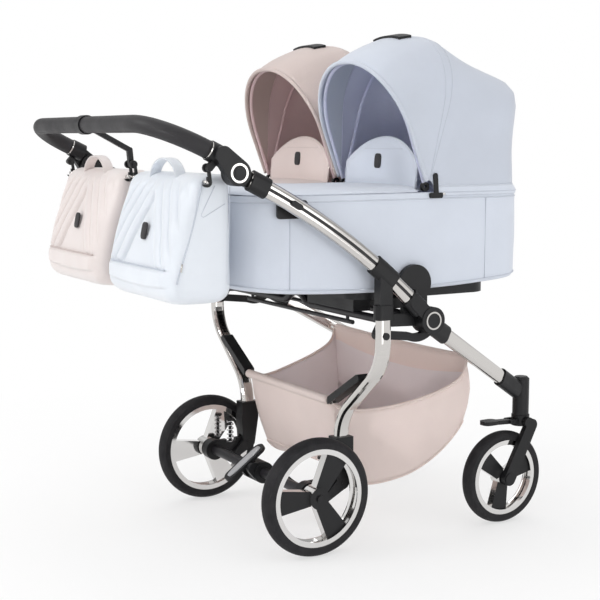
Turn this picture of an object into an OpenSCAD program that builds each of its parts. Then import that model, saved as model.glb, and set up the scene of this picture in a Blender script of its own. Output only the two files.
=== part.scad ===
// Side-by-side twin pram: folding tube frame, two carrycots with hoods, handlebar bags and basket.
// Millimetres, +X forward, +Y left, +Z up. The origin is on the floor below the middle of the pram.

/* [Wheels] */
// Radius of a rear wheel
rear_wheel_r = 135; // [125:1:145]
// Width of a rear tyre
rear_tyre_w = 38; // [32:1:40]
// Outer radius of a rear rim
rear_rim_r = 112; // [100:1:116]
// Distance between the rear wheels' middle planes
rear_track = 550; // [546:1:566]
// Radius of a front wheel
front_wheel_r = 113; // [106:1:118]
// Width of a front tyre
front_tyre_w = 34; // [28:1:36]
// Outer radius of a front rim
front_rim_r = 92; // [84:1:96]
// Distance between the front wheels' middle planes
front_track = 560; // [550:1:572]
// Distance from the rear axle to the front axles
wheelbase = 524; // [510:1:540]
// Distance of a front wheel's axle behind its swivel
caster_trail = 56; // [48:1:62]
// Spokes in each wheel
spoke_count = 3; // [3:1:5]

/* [Frame tubes] */
// Long side of the oval frame tube
tube_h = 36; // [32:1:38]
// Short side of the oval frame tube
tube_w = 22; // [20:1:24]
// Distance of the upper tubes from the middle of the pram
tube_y = 398; // [396:1:404]
// Rise of the upper tubes' bow above a straight line
tube_bow = 27; // [20:1:34]
// Width of the groove along each upper tube
groove_w = 7; // [6:1:8]
// Depth of the groove along each upper tube
groove_d = 2; // [1.5:0.5:3]
// Bend radius of the rear legs
leg_bend_r = 110; // [100:1:120]
// Angle of the rear legs' two bends
leg_bend_a = 50; // [46:1:54]
// Straight length between the rear legs' bends
leg_slant = 118; // [108:1:126]

/* [Fold joint] */
// Distance of the fold joint ahead of the rear axle
fold_x = 217; // [210:1:224]
// Height of the fold joint
fold_z = 534; // [526:1:542]
// Radius of the fold joint's discs
fold_disc_r = 30; // [26:1:32]
// Radius of the fold pin
fold_pin_r = 6; // [5:0.5:8]

/* [Handlebar] */
// Distance of the handle joint behind the rear axle
hinge_back = 260; // [252:1:268]
// Height of the handle joint
hinge_z = 862; // [854:1:870]
// Radius of the handle joint's discs
hinge_disc_r = 26; // [23:1:28]
// Slope of the handlebar's loop
bar_slope = 25.5; // [22:0.5:29]
// Bend radius of the handlebar's corners
bar_bend_r = 117; // [108:1:124]
// Half width of the handlebar between its arms
bar_half = 386; // [382:1:390]
// Radius of the padded grip
grip_r = 18; // [16:0.5:19]
// Radius of the tube inside the grip
bar_tube_r = 13; // [11:0.5:14]

/* [Carrycots] */
// Length of a carrycot
cot_l = 739; // [720:1:755]
// Width of a carrycot
cot_w = 360; // [350:1:362]
// Gap between the two carrycots
cot_gap = 12; // [10:1:18]
// Distance of the carrycot's foot end behind the rear axle
cot_back = 215; // [208:1:222]
// Height of the carrycot's lowest point
cot_floor_z = 597; // [594:1:604]
// Height of the carrycot's rim
cot_rim_z = 812; // [806:1:816]
// Thickness of the padded wall
cot_wall = 12; // [9:1:14]
// Rise of the curved underside towards the ends
cot_rocker = 18; // [16:1:24]
// Thickness of the mattress
mattress_t = 35; // [25:1:45]

/* [Hoods] */
// Distance of the hood hinge ahead of the rear axle
hood_x = 232; // [226:1:240]
// Half width of the hood
hood_half = 181; // [176:1:181]
// Largest reach of the hood from its hinge
hood_reach = 382; // [372:1:390]
// Lean of the main hoop from upright
hoop_lean = 15; // [12:1:20]
// Lean of the front edge from upright
visor_lean = -21; // [-25:1:-18]

/* [Bags and basket] */
// Width of a bag
bag_w = 348; // [330:1:350]
// Depth of a bag from front to back
bag_d = 140; // [120:1:144]
// Height of a bag
bag_h = 262; // [240:1:266]
// Half width of the basket at its rear bar
basket_half = 199; // [190:1:204]
// Depth of the basket below its rear bar
basket_drop = 212; // [190:1:220]
// Thickness of the basket fabric
basket_t = 4; // [3:0.5:6]

/* [Hidden] */
$fn = 48;

// Clearances
fit = 0.05;
skin_gap = 0.3;
slip = 0.1;

// Colours
chrome_c = "#c9c4bd";
black_c = "#2b2a2d";
leather_c = "#3b3a3e";
tyre_c = "#2e2d30";
blue_c = "#cdd7e6";
pink_c = "#e0cdc9";
spring_c = "#b8b8bc";

// The rear axle lies this far behind the origin, so that the pram is centred on it
bar_reach = bar_bend_r;
ring_run = 72;
ring_rise = 40;
hinge_p = [-hinge_back, hinge_z];
ring_p = hinge_p + ring_run * [-cos(ring_rise), sin(ring_rise)];
bar_p = ring_p + bar_reach * [-cos(bar_slope), sin(bar_slope)];
rear_reach = grip_r - bar_p.x;
front_reach = wheelbase + front_wheel_r;
axle_x = (rear_reach - front_reach) / 2;

// Upper tube: an arc from the handle joint to the fold joint
fold_p = [fold_x, fold_z];
chord = norm(fold_p - hinge_p);
arc_r = (chord * chord / 4 + tube_bow * tube_bow) / (2 * tube_bow);
chord_dir = (fold_p - hinge_p) / chord;
arc_c = (fold_p + hinge_p) / 2 - (arc_r - tube_bow) * [-chord_dir.y, chord_dir.x];
arc_top = atan2(hinge_p.y - arc_c.y, hinge_p.x - arc_c.x);
arc_low = atan2(fold_p.y - arc_c.y, fold_p.x - arc_c.x);
tube_len = arc_span(arc_top - arc_low);
tube_in = tube_y - tube_w / 2;
tube_out = tube_y + tube_w / 2;
tube_end_gap = 34;
socket_wall = 4;
socket_from = 36;
socket_to = 78;

// Layers across each joint, measured from the middle of the pram
side_in = tube_in - 17;
side_out = tube_in - 3.5;
split_y = tube_y;
cover_out = tube_y + 16;

// Rear legs and their hinge on the side plates
leg_x = 95;
leg_pin = [leg_x, fold_z - 26];
leg_pin_r = 5;
leg_bend_z = fold_z - 42;
collar_z = [fold_z + 9, fold_z + 41];
collar_cap = 4;
leg_drop = 2 * leg_bend_r * sin(leg_bend_a) + leg_slant * cos(leg_bend_a);
leg_shift = 2 * leg_bend_r * (1 - cos(leg_bend_a)) + leg_slant * sin(leg_bend_a);
leg_low_y = tube_y - leg_shift;
sleeve_half = 32;
sleeve_s = arc_span(arc_top - acos((leg_x - arc_c.x) / arc_r));

// Rear axle and its suspension
axle_z = rear_wheel_r;
arm_pin = [leg_x - 4, axle_z + 14];
arm_pin_r = 5;
arm_t = 13;
ear_t = 10;
bracket_top = leg_bend_z - leg_drop + 6;
bracket_half = arm_t / 2 + ear_t + skin_gap;
axle_tube_r = 12;
axle_pin_r = 8;
carrier_r = 26;
spring_x = 44;
spring_top = axle_z + 73;
spring_foot = axle_z + 16;
spring_r = 7.6;
spring_wire = 1.4;
rod_r = 4;
spring_turns = 6.5;

// Front legs and casters
front_leg_y = tube_y - 22;
caster_x = wheelbase + caster_trail;
caster_y = front_track / 2;
crown_z = [2 * front_wheel_r + 9, 2 * front_wheel_r + 35];
socket_z = [crown_z[1] + skin_gap, crown_z[1] + 89];
socket_r = 20;
stem_r = 8;
leg_foot = [caster_x - 14, caster_y + 4, socket_z[0] + 61];
leg_run = leg_foot - [fold_x, front_leg_y, fold_z];

// Crossbars
rear_bar = [leg_x + 17, fold_z + 4];
front_bar = [fold_x - 12, fold_z + 4];
crossbar_r = 9;
hump_rise_r = 40;
hump_top_r = 60;
hump_a = atan2(3, 4);
hump_side = 5;
hump_half = (hump_rise_r + hump_top_r) * sin(hump_a) + hump_side * cos(hump_a);
brace_r = 5;
brace_half = 250;
brace_drop = 20;

// Handle joint and hooks
arm_out = split_y + 18;
pocket_floor = split_y + 10;
hinge_pin_r = 7;
button_r = 15;
button_travel = 3;
band_w = 3;
arm_socket = 33;
arm_socket_r = 21;
hook_p = [ring_p.x, ring_p.y - 36];
hook_pin_r = 4;
clip_t = 6;
clip_drop = 28;
peg_p = [hook_p.x, hook_p.y - clip_drop];
peg_r = 4;
clip_in_y = 14;
clip_out_y = bar_half - 4;

// Fold slider in the groove
slider_s = 150;
slider_l = 30;
slider_w = 12;

// Carrycots and hoods
cot_y = (cot_gap + cot_w) / 2;
cot_front = cot_l - cot_back;
foot_corner = 105;
head_corner = 92;
rocker_r = cot_l * cot_l / (8 * cot_rocker) + cot_rocker / 2;
cot_mid_x = cot_front - cot_l / 2;
cot_inner_z = cot_floor_z + 43;
apron_end = 238;
apron_side_end = hood_x - 20;
apron_t = 9;
hood_z = cot_rim_z + 12;
hood_pin_r = 4;
hood_hub_r = 10;
hood_t = 3;
hood_hole = 14;
hood_peak = 52;
hood_end = 90;
front_drop = 86;
swell = 1.4;
hood_knuckle = [53, hood_reach + 2];
hood_back = cot_front - hood_x - 8;
hood_back_corner = 92;
lug_half = cot_w / 2 - 18;
hoop_half = lug_half + 5;
hoop_r = 4;
foot_z = rear_bar.y + crossbar_r + skin_gap;

// Bag
bag_top = peg_p.y + 14;
bag_y0 = clip_in_y + 8;
bag_corner = 26;

// Basket: stations as [x, half width, z]
basket_bar_p = [leg_x - 13, 332];
basket_bar_r = 7;
hem_r = 10.5;
basket_low = basket_bar_p.y - basket_drop;
basket_stations = [
    [basket_bar_p.x, basket_half - 4, basket_bar_p.y - 4],
    [basket_bar_p.x + 48, basket_half - 12, basket_low + 22],
    [basket_bar_p.x + 126, basket_half - 8, basket_low],
    [basket_bar_p.x + 312, basket_half - 2, basket_low + 50],
    [basket_bar_p.x + 308, basket_half + 98, basket_bar_p.y + 72]
];

// Length along the upper tube for an angle of its arc, and the reverse
function arc_span(a) = arc_r * a * PI / 180;
function arc_angle(s) = s / arc_r * 180 / PI;

// Point on the upper tube at a distance below the handle joint
function tube_point(s) = arc_c + arc_r * [cos(arc_top - arc_angle(s)), sin(arc_top - arc_angle(s))];

// Slope of the upper tube there, in degrees
function tube_slope(s) = arc_top - arc_angle(s) - 90;

// Reach at a lean of the straight line between two points, each given as [lean, reach]
function line_r(a, p, q) = p[1] * q[1] * sin(q[0] - p[0]) / (p[1] * sin(a - p[0]) + q[1] * sin(q[0] - a));

// Reach of the hood from its hinge at a lean from upright: a curve to the main hoop, then two straight lines
function hood_r(a) = a <= hoop_lean
    ? hood_reach - front_drop * pow((hood_peak - a) / (hood_peak - visor_lean), swell)
    : a <= hood_knuckle[0]
        ? line_r(a, [hoop_lean, hood_r(hoop_lean)], hood_knuckle)
        : line_r(a, hood_knuckle, [hood_end, hood_back]);

// Corner radius of the hood's section at a lean, smaller towards the back
function hood_corner(a) =
    hood_half - 6 - max(0, a - hoop_lean) / (hood_end - hoop_lean) * (hood_half - 6 - hood_back_corner);

// Place everything from the rear axle instead of the origin
module from_axle() { translate([axle_x, 0, 0]) children(); }

// Left and right copies
module pair() {
    children();
    mirror([0, 1, 0]) children();
}

// One side only: 1 is left, -1 is right
module on_side(side) { mirror([0, side > 0 ? 0 : 1, 0]) children(); }

// An outline in X and Z, given thickness from y0 to y1
module plate(y0, y1) { translate([0, y1, 0]) rotate([90, 0, 0]) linear_extrude(y1 - y0) children(); }

// An outline in Y and Z, given thickness from x0 to x1
module plate_x(x0, x1) { translate([x0, 0, 0]) rotate([90, 0, 90]) linear_extrude(x1 - x0) children(); }

// A round pin along Y at a point in X and Z
module pin(p, r, y0, y1) { translate([p.x, y0, p.y]) rotate([-90, 0, 0]) cylinder(r = r, h = y1 - y0); }

// A round-ended bar between two points
module bar(p, q, w) {
    run = q - p;
    translate(p) circle(d = w);
    translate(q) circle(d = w);
    translate(p) rotate(atan2(run.y, run.x)) translate([0, -w / 2]) square([norm(run), w]);
}

// Two circles joined by their outer tangents
module taper(p, rp, q, rq) {
    run = q - p;
    lean = atan2(run.y, run.x);
    spread = acos((rp - rq) / norm(run));
    up = [cos(lean + spread), sin(lean + spread)];
    down = [cos(lean - spread), sin(lean - spread)];
    translate(p) circle(r = rp);
    translate(q) circle(r = rq);
    polygon([p + rp * up, q + rq * up, q + rq * down, p + rp * down]);
}

// An oval with its long side along X
module oval(h, w) {
    square([h - w, w], center = true);
    for (end = [-1, 1]) translate([end * (h - w) / 2, 0]) circle(d = w);
}

// A rectangle with round corners, centred
module round_rect(l, w, r) {
    square([l - 2 * r, w], center = true);
    square([l, w - 2 * r], center = true);
    for (a = [-1, 1], b = [-1, 1]) translate([a * (l / 2 - r), b * (w / 2 - r)]) circle(r = r);
}

// Sweep a section along +Z through steps of [straight length, bend radius, bend angle towards +X]
module pipe(steps, i = 0) {
    step = steps[i];
    flip = step[2] < 0 ? 180 : 0;
    turn = abs(step[2]);
    bend = step[1];
    if (step[0] > 0) linear_extrude(step[0]) children();
    translate([0, 0, step[0]]) rotate([0, 0, flip]) {
        if (turn > 0)
            translate([bend, 0, 0]) rotate([90, 0, 0]) rotate([0, 0, 180 - turn])
                rotate_extrude(angle = turn) translate([bend, 0]) children();
        if (i + 1 < len(steps))
            translate([bend * (1 - cos(turn)), 0, bend * sin(turn)]) rotate([0, turn, 0])
                rotate([0, 0, -flip]) pipe(steps, i + 1) children();
    }
}

// Sweep a section along the upper tube, between two distances below the handle joint
module along_tube(s0, s1) {
    translate([arc_c.x, tube_y, arc_c.y]) rotate([90, 0, 0]) rotate([0, 0, arc_top - arc_angle(s1)])
        rotate_extrude(angle = arc_angle(s1 - s0), $fn = 360) translate([arc_r, 0]) children();
}

// Frame of the front leg: +Z runs down the leg from the fold joint
module on_leg() {
    translate([fold_x, front_leg_y, fold_z])
        rotate([0, acos(leg_run.z / norm(leg_run)), atan2(leg_run.y, leg_run.x)]) children();
}

// Frame of the handlebar: +Z runs up the left arm from its ring, +X to the right arm
module on_handle() {
    translate([ring_p.x, bar_half, ring_p.y]) rotate([0, bar_slope - 90, 0]) rotate([0, 0, -90]) children();
}

module tube_hole(s0, s1) { along_tube(s0, s1) oval(tube_h + 2 * slip, tube_w + 2 * slip); }

module front_legs() color(chrome_c) from_axle() pair()
    on_leg() translate([0, 0, tube_end_gap]) linear_extrude(norm(leg_run) - tube_end_gap - 24)
        oval(tube_h, tube_w);

module leg_hole(from, to) {
    on_leg() translate([0, 0, from]) linear_extrude(to - from) oval(tube_h + 2 * slip, tube_w + 2 * slip);
}

// Outline of the side plate: disc, curved arm to the rear leg and the crossbars' seats
module side_outline() {
    bend_p = fold_p + [-22, 11];
    bend_mid = 51;
    arm_w = 18;
    bend_end = bend_p + bend_mid * [cos(-115), sin(-115)];
    translate(fold_p) circle(r = fold_disc_r);
    bar(rear_bar, fold_p, 28);
    bar(leg_pin, rear_bar, 24);
    bar(leg_pin, bend_end, arm_w);
    translate(bend_p) intersection() {
        difference() {
            circle(r = bend_mid + arm_w / 2);
            circle(r = bend_mid - arm_w / 2);
        }
        polygon([[0, 0], 2 * bend_mid * [cos(-10), sin(-10)], 2 * bend_mid * [cos(-62), sin(-62)],
                 2 * bend_mid * [cos(-115), sin(-115)]]);
    }
}

module fold_housings() color(black_c) from_axle() pair() difference() {
    union() {
        plate(side_in, side_out) side_outline();
        pin(fold_p, fold_disc_r, side_in, split_y - slip);
        pin(fold_p, fold_pin_r, split_y - 1, cover_out - 7);
        pin(leg_pin, leg_pin_r, side_in, tube_out + 1);
        pin(leg_pin, leg_pin_r + 5, side_in, tube_in - skin_gap);
        pin(leg_pin, leg_pin_r + 3, tube_out + skin_gap, tube_out + 3);
        on_leg() translate([0, 0, fold_disc_r - 4]) linear_extrude(62)
            oval(tube_h + 2 * socket_wall, tube_w + 6);
    }
    leg_hole(tube_end_gap - slip, 120);
}

module crossbars() color(black_c) from_axle() for (seat = [rear_bar, front_bar]) {
    run = side_in - hump_half;
    translate([seat.x, -side_in, seat.y]) rotate([-90, 0, 0]) rotate([0, 0, -90])
        pipe([[run, hump_rise_r, hump_a], [hump_side, hump_top_r, -2 * hump_a],
              [hump_side, hump_rise_r, hump_a], [run, 0, 0]]) circle(r = crossbar_r);
    pin(seat - [0, brace_drop], brace_r, -brace_half, brace_half);
    for (y = [-1, 1] * (brace_half - 22))
        translate([seat.x, y, seat.y - brace_drop]) cylinder(r = brace_r - 1, h = brace_drop);
}

module cot_supports() color(black_c) from_axle() pair() plate(side_in, side_out - 1.5) difference() {
    dome_p = fold_p + [-27, 80];
    union() {
        translate(dome_p) circle(r = 42);
        translate(dome_p - [32, 70]) square([64, 70]);
    }
    side_outline();
}

module caster_sockets() color(black_c) from_axle() pair() difference() {
    union() {
        translate([caster_x, caster_y, socket_z[0]]) cylinder(r = socket_r, h = socket_z[1] - socket_z[0]);
        translate([caster_x, caster_y, socket_z[1]]) cylinder(r1 = socket_r, r2 = socket_r - 5, h = 5);
        on_leg() translate([0, 0, norm(leg_run) - 84]) linear_extrude(80) oval(tube_h + 2 * socket_wall, tube_w + 6);
    }
    leg_hole(norm(leg_run) - 90, norm(leg_run) - 24 + slip);
    translate([caster_x, caster_y, socket_z[0] - 1]) cylinder(r = stem_r + fit, h = socket_z[1] - socket_z[0] - 11);
}

// Solid through the basket's stations, drawn in by an inset
module basket_solid(inset, lift) hull() for (s = basket_stations) {
    toward = [basket_bar_p.x + 180, basket_bar_p.y - 40];
    pull = inset / norm([s.x, s.z] - toward);
    translate([s.x + pull * (toward.x - s.x), 0, s.z + pull * (toward.y - s.z)])
        cube([2, 2 * (s.y - inset), 2], center = true);
    if (lift > 0 && s.z > basket_low + 60)
        translate([s.x, 0, s.z + lift]) cube([2, 2 * (s.y - inset), 2], center = true);
}

// Large roller that lets the basket's sides dip between its rear bar and its front edge
module basket_dip() {
    run = [310, 72];
    depth = 26;
    r = norm(run) * norm(run) / (8 * depth) + depth / 2;
    middle = basket_bar_p + [0, 8] + run / 2;
    pin(middle + (r - depth) * [-run.y, run.x] / norm(run), r, -basket_half - 120, basket_half + 120, $fn = 360);
}

module basket() color(pink_c) from_axle() difference() {
    union() {
        difference() {
            basket_solid(0, 0);
            basket_solid(basket_t, 80);
            basket_dip();
        }
        pin(basket_bar_p, hem_r, 4 - basket_half, basket_half - 4);
    }
    pin(basket_bar_p, basket_bar_r + skin_gap, -basket_half - 10, basket_half + 10);
    pair() leg_hole(100, 320);
}

module upper_tubes() color(chrome_c) from_axle() pair() difference() {
    along_tube(tube_end_gap, tube_len - tube_end_gap) oval(tube_h, tube_w);
    along_tube(tube_end_gap - 1, tube_len - tube_end_gap + 1)
        translate([0, -tube_w / 2]) square([groove_w, 2 * groove_d], center = true);
}

module tube_sleeves() color(black_c) from_axle() pair() difference() {
    top = tube_point(sleeve_s);
    union() {
        along_tube(sleeve_s - sleeve_half, sleeve_s + sleeve_half) oval(tube_h + 2 * socket_wall, tube_w + 6);
        translate([leg_x - 16, tube_y - 12, collar_z[1] + skin_gap]) cube([32, 24, top.y - collar_z[1]]);
    }
    tube_hole(sleeve_s - 2 * sleeve_half, sleeve_s + 2 * sleeve_half);
}

module fold_covers() color(black_c) from_axle() pair() difference() {
    union() {
        pin(fold_p, fold_disc_r, split_y + slip, cover_out);
        along_tube(tube_len - socket_to, tube_len - socket_from) oval(tube_h + 2 * socket_wall, tube_w + 6);
        plate(split_y + slip, cover_out - 2) bar(fold_p, tube_point(tube_len - 60), 32);
    }
    pin(fold_p, fold_pin_r + fit, split_y - 1, cover_out - 6);
    tube_hole(tube_len - socket_to - 20, tube_len - tube_end_gap + slip);
}

module fold_rings() color(chrome_c) from_axle() pair() difference() {
    pin(fold_p, 20, cover_out, cover_out + 1.5);
    pin(fold_p, 16.5, cover_out - 1, cover_out + 3);
}

module handle_hubs() color(black_c) from_axle() pair() difference() {
    union() {
        pin(hinge_p, hinge_disc_r, tube_in - 2, split_y - slip);
        pin(hinge_p, hinge_pin_r, split_y - 1, pocket_floor - skin_gap);
        along_tube(socket_from, socket_to) oval(tube_h + 2 * socket_wall, tube_w + 6);
        plate(tube_in - 2, split_y - slip) bar(hinge_p, tube_point(60), 32);
    }
    tube_hole(tube_end_gap - slip, socket_to + 20);
}

module fold_sliders() color(black_c) from_axle() pair() {
    at = tube_point(slider_s);
    translate([at.x, 0, at.y]) rotate([0, -tube_slope(slider_s), 0]) {
        plate(tube_out + skin_gap, tube_out + 4) oval(slider_l, slider_w);
        plate(tube_out - groove_d + skin_gap, tube_out + 1) oval(slider_l - 6, groove_w - 2 * skin_gap);
    }
}

function bar_steps(lead) = [[lead, bar_bend_r, 90], [2 * (bar_half - bar_bend_r), bar_bend_r, 90], [lead, 0, 0]];

module bar_run(from, r) { on_handle() translate([0, 0, from]) pipe(bar_steps(-from)) circle(r = r); }

module handle_tube() color(chrome_c) from_axle() bar_run(3 - arm_socket, bar_tube_r);

module handle_grip() color(leather_c) from_axle() difference() {
    bar_run(-slip, grip_r);
    bar_run(-1, bar_tube_r + fit);
}

module handle_arms() color(black_c) from_axle() pair() difference() {
    root = ring_p + 25 * [cos(bar_slope), -sin(bar_slope)];
    union() {
        on_handle() translate([0, 0, -slip * 3 - band_w - arm_socket]) cylinder(r = arm_socket_r, h = arm_socket);
        plate(split_y + slip * 2, arm_out) taper(hinge_p, hinge_disc_r, root, 18);
        plate(clip_out_y + clip_t / 2 + 1, split_y + 1) bar(root, hook_p, 13);
        pin(hook_p, hook_pin_r, clip_out_y - clip_t / 2 - 3, clip_out_y + clip_t / 2 + 2);
    }
    on_handle() translate([0, 0, -arm_socket - 20]) cylinder(r = bar_tube_r + fit, h = arm_socket + 40);
    pin(hinge_p, hinge_pin_r + fit, split_y - 1, pocket_floor + 1);
    pin(hinge_p, button_r + skin_gap, pocket_floor, arm_out + 1);
}

module handle_rings() color(chrome_c) from_axle() pair() {
    on_handle() translate([0, 0, -slip * 2 - band_w]) difference() {
        cylinder(r = grip_r + 1.5, h = band_w);
        translate([0, 0, -1]) cylinder(r = bar_tube_r + fit, h = band_w + 2);
    }
    difference() {
        pin(hinge_p, button_r + 4.5, arm_out, arm_out + 1.2);
        pin(hinge_p, button_r + skin_gap, arm_out - 1, arm_out + 3);
    }
}

module hook_bar() color(black_c) from_axle() difference() {
    knee = ring_p + [-3, -4];
    union() {
        plate(-5, 5) {
            bar(bar_p, knee, 11);
            bar(knee, hook_p, 12);
        }
        pin(bar_p, grip_r + 3, -13, 13);
        pin(hook_p, hook_pin_r, -clip_in_y - clip_t, clip_in_y + clip_t);
    }
    pin(bar_p, grip_r + slip, -30, 30);
}

module handle_button(side) color(black_c) from_axle() on_side(side) {
    pin(hinge_p, button_r, pocket_floor + button_travel + skin_gap, arm_out + 0.5);
    pin(hinge_p, button_r - 5, arm_out, arm_out + 1.5);
}

// Flat hook with an eye above and its mouth to the rear
module clip_outline() difference() {
    union() {
        translate(hook_p) circle(r = 9);
        translate(peg_p) circle(r = 10.5);
        bar(hook_p + [4, -3], peg_p + [7, 3], 6);
    }
    translate(hook_p) circle(r = hook_pin_r + fit);
    translate(peg_p) circle(r = peg_r + skin_gap);
    translate(peg_p - [20, peg_r + skin_gap]) square([20, 20]);
}

module bag_clips() color(black_c) from_axle() pair() for (y = [clip_in_y, clip_out_y])
    plate(y - clip_t / 2, y + clip_t / 2) clip_outline();

// A convex outline with round corners about points that run anticlockwise
module rounded(points, r) {
    n = len(points);
    for (p = points) translate(p) circle(r = r);
    polygon([for (i = [0 : n - 1])
        let (p = points[i], run = points[(i + 1) % n] - p, out = r * [run.y, -run.x] / norm(run))
        each [p + out, p + run + out]]);
}

module bag(side, tint) color(tint) from_axle() on_side(side) {
    mid_x = peg_p.x - 4;
    mid_y = bag_y0 + bag_w / 2;
    reach = bag_d / 2 - bag_corner;
    low = bag_top - bag_h + bag_corner;
    high = bag_top - bag_corner;
    pocket_h = 88;
    plate(bag_y0, bag_y0 + bag_w)
        rounded([[mid_x - reach, low], [mid_x + reach, low], [mid_x + reach, high], [mid_x + reach - 25, high],
                 [mid_x - reach, low + 54]], bag_corner);
    plate(bag_y0 + 30, bag_y0 + bag_w - 30)
        translate([mid_x - 8, bag_top - bag_h + 4 + pocket_h / 2]) round_rect(bag_d, pocket_h, bag_corner);
    pin(peg_p, peg_r, clip_in_y - 6, bag_y0 + 4);
    pin(peg_p, peg_r, bag_y0 + bag_w - 4, clip_out_y + 5);
    translate([peg_p.x, mid_y, bag_top - 24]) rotate([90, 0, 90])
        rotate_extrude(angle = 180) translate([52, 0]) square([4, 24], center = true);
}

// Centre line of a rear leg: straight, a bend inwards, a slant, a bend back and straight again
bend_steps = 8;
leg_foot_z = arm_pin.y + 58;
function bend_angle(k) = leg_bend_a * k / bend_steps;
function leg_path() = concat(
    [[leg_x, tube_y, collar_z[1] - collar_cap]],
    [for (k = [0 : bend_steps])
        [leg_x, tube_y - leg_bend_r * (1 - cos(bend_angle(k))), leg_bend_z - leg_bend_r * sin(bend_angle(k))]],
    [for (k = [bend_steps : -1 : 0])
        [leg_x, leg_low_y + leg_bend_r * (1 - cos(bend_angle(k))),
         leg_bend_z - leg_drop + leg_bend_r * sin(bend_angle(k))]],
    [[leg_x, leg_low_y, leg_foot_z]]
);

module rear_legs() color(chrome_c) from_axle() pair() difference() {
    swept(leg_path(), oval_ring(tube_w, tube_h), [1, 0, 0]);
    pin(leg_pin, leg_pin_r + fit, tube_in - 5, tube_out + 5);
}

// Strap plate from the basket bar up to the rear leg's slanted stretch, in Y and Z
module strap_outline() {
    slant = [sin(leg_bend_a), cos(leg_bend_a)];
    start = [tube_y - leg_bend_r * (1 - cos(leg_bend_a)), leg_bend_z - leg_bend_r * sin(leg_bend_a)];
    seat = start - leg_slant * 0.22 * slant + (tube_w / 2 + 8 + slip) * [-slant.y, slant.x];
    bar([basket_half + 6, basket_bar_p.y + 2], seat, 16);
}

module leg_fittings() color(black_c) from_axle() pair() {
    difference() {
        translate([leg_x, tube_y, collar_z[0]]) linear_extrude(collar_z[1] - collar_z[0])
            round_rect(tube_h + 8, tube_w + 6, 12);
        translate([leg_x, tube_y, collar_z[0] - 1]) linear_extrude(collar_z[1] - collar_cap - collar_z[0] + 1)
            oval(tube_h + 2 * slip, tube_w + 2 * slip);
    }
    difference() {
        plate_x(basket_bar_p.x - 9, leg_x + 7) strap_outline();
        plate_x(basket_bar_p.x - 20, basket_bar_p.x + 20)
            translate([0, basket_bar_p.y]) square([2 * basket_half + 9, 60], center = true);
        pin(basket_bar_p, basket_bar_r + slip, -basket_half - 60, basket_half + 60);
    }
}

module basket_bar() color(chrome_c) from_axle()
    pin(basket_bar_p, basket_bar_r, -basket_half - 9, basket_half + 9);

// Bracket under a rear leg: leg socket, two ears for the axle arm, and a capped rod that guides the spring
module leg_brackets() color(black_c) from_axle() pair() difference() {
    ears = [leg_low_y - bracket_half, leg_low_y + bracket_half];
    foot = [spring_x, axle_z - 22];
    union() {
        plate(ears[0], ears[1]) {
            taper(arm_pin, 17, arm_pin + [3, 64], 24);
            translate([leg_x - 23, arm_pin.y + 64]) square([46, bracket_top - arm_pin.y - 64]);
            taper(arm_pin, 16, foot, 7);
        }
        translate([spring_x, leg_low_y, foot.y]) cylinder(r = rod_r, h = spring_top - foot.y + 1);
        translate([spring_x, leg_low_y, spring_top]) cylinder(r = spring_r + spring_wire + 1.5, h = 4);
    }
    difference() {
        plate(leg_low_y - arm_t / 2 - skin_gap, leg_low_y + arm_t / 2 + skin_gap) {
            translate(arm_pin) circle(r = 19);
            polygon([arm_pin + [0, 19], arm_pin + [0, -19], [spring_x, foot.y + 4], [spring_x - 30, foot.y + 4],
                     [spring_x - 30, arm_pin.y + 19]]);
        }
        translate([spring_x, leg_low_y, foot.y]) cylinder(r = rod_r, h = spring_top - foot.y + 1);
    }
    pin(arm_pin, arm_pin_r + fit, ears[0] - 1, ears[1] + 1);
    translate([leg_x, leg_low_y, leg_foot_z - slip]) linear_extrude(200)
        oval(tube_h + 2 * slip, tube_w + 2 * slip);
}

module axle_tube() color(black_c) from_axle()
    pin([0, axle_z], axle_tube_r, -leg_low_y + arm_t / 2, leg_low_y - arm_t / 2);

module axle_arms() color(black_c) from_axle() pair() {
    inner = leg_low_y - arm_t / 2;
    outer = leg_low_y + arm_t / 2;
    wheel_in = (rear_track - rear_tyre_w) / 2;
    difference() {
        plate(inner, outer) taper([0, axle_z], carrier_r - 2, arm_pin, 13);
        plate(inner - 1, outer + 1) translate([spring_x - 13, spring_foot]) square([26, 30]);
        translate([spring_x - rod_r - 2, leg_low_y - rod_r - 0.7, axle_z - 40])
            cube([2 * rod_r + 4, 2 * rod_r + 1.4, 80]);
    }
    pin(arm_pin, arm_pin_r, inner - ear_t - 1, outer + ear_t + 1);
    pin([0, axle_z], carrier_r, inner + 2, wheel_in - 6);
    pin([0, axle_z], axle_pin_r, wheel_in - 7, wheel_in + rear_tyre_w + 4);
}

// Points on the spring's centre line: a flat start, even turns and a flat end
spring_steps = 8;
spring_n = floor(spring_turns * spring_steps);
spring_lo = spring_foot + spring_wire + skin_gap;
spring_hi = spring_top - spring_wire - skin_gap;
function spring_point(i) = [
    spring_r * cos(360 * i / spring_steps),
    spring_r * sin(360 * i / spring_steps),
    spring_lo + (spring_hi - spring_lo) * i / spring_n
];
function spring_path() = [for (i = [0 : spring_n]) spring_point(i)];

// Rings of points for swept sections
function round_ring(r, sides) = [for (k = [0 : sides - 1]) r * [cos(360 * k / sides), sin(360 * k / sides)]];
function oval_ring(w, h) = [for (end = [0, 180], k = [0 : 10])
    w / 2 * [cos(end + 18 * k), sin(end + 18 * k)] + [0, (end == 0 ? 1 : -1) * (h - w) / 2]];

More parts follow.
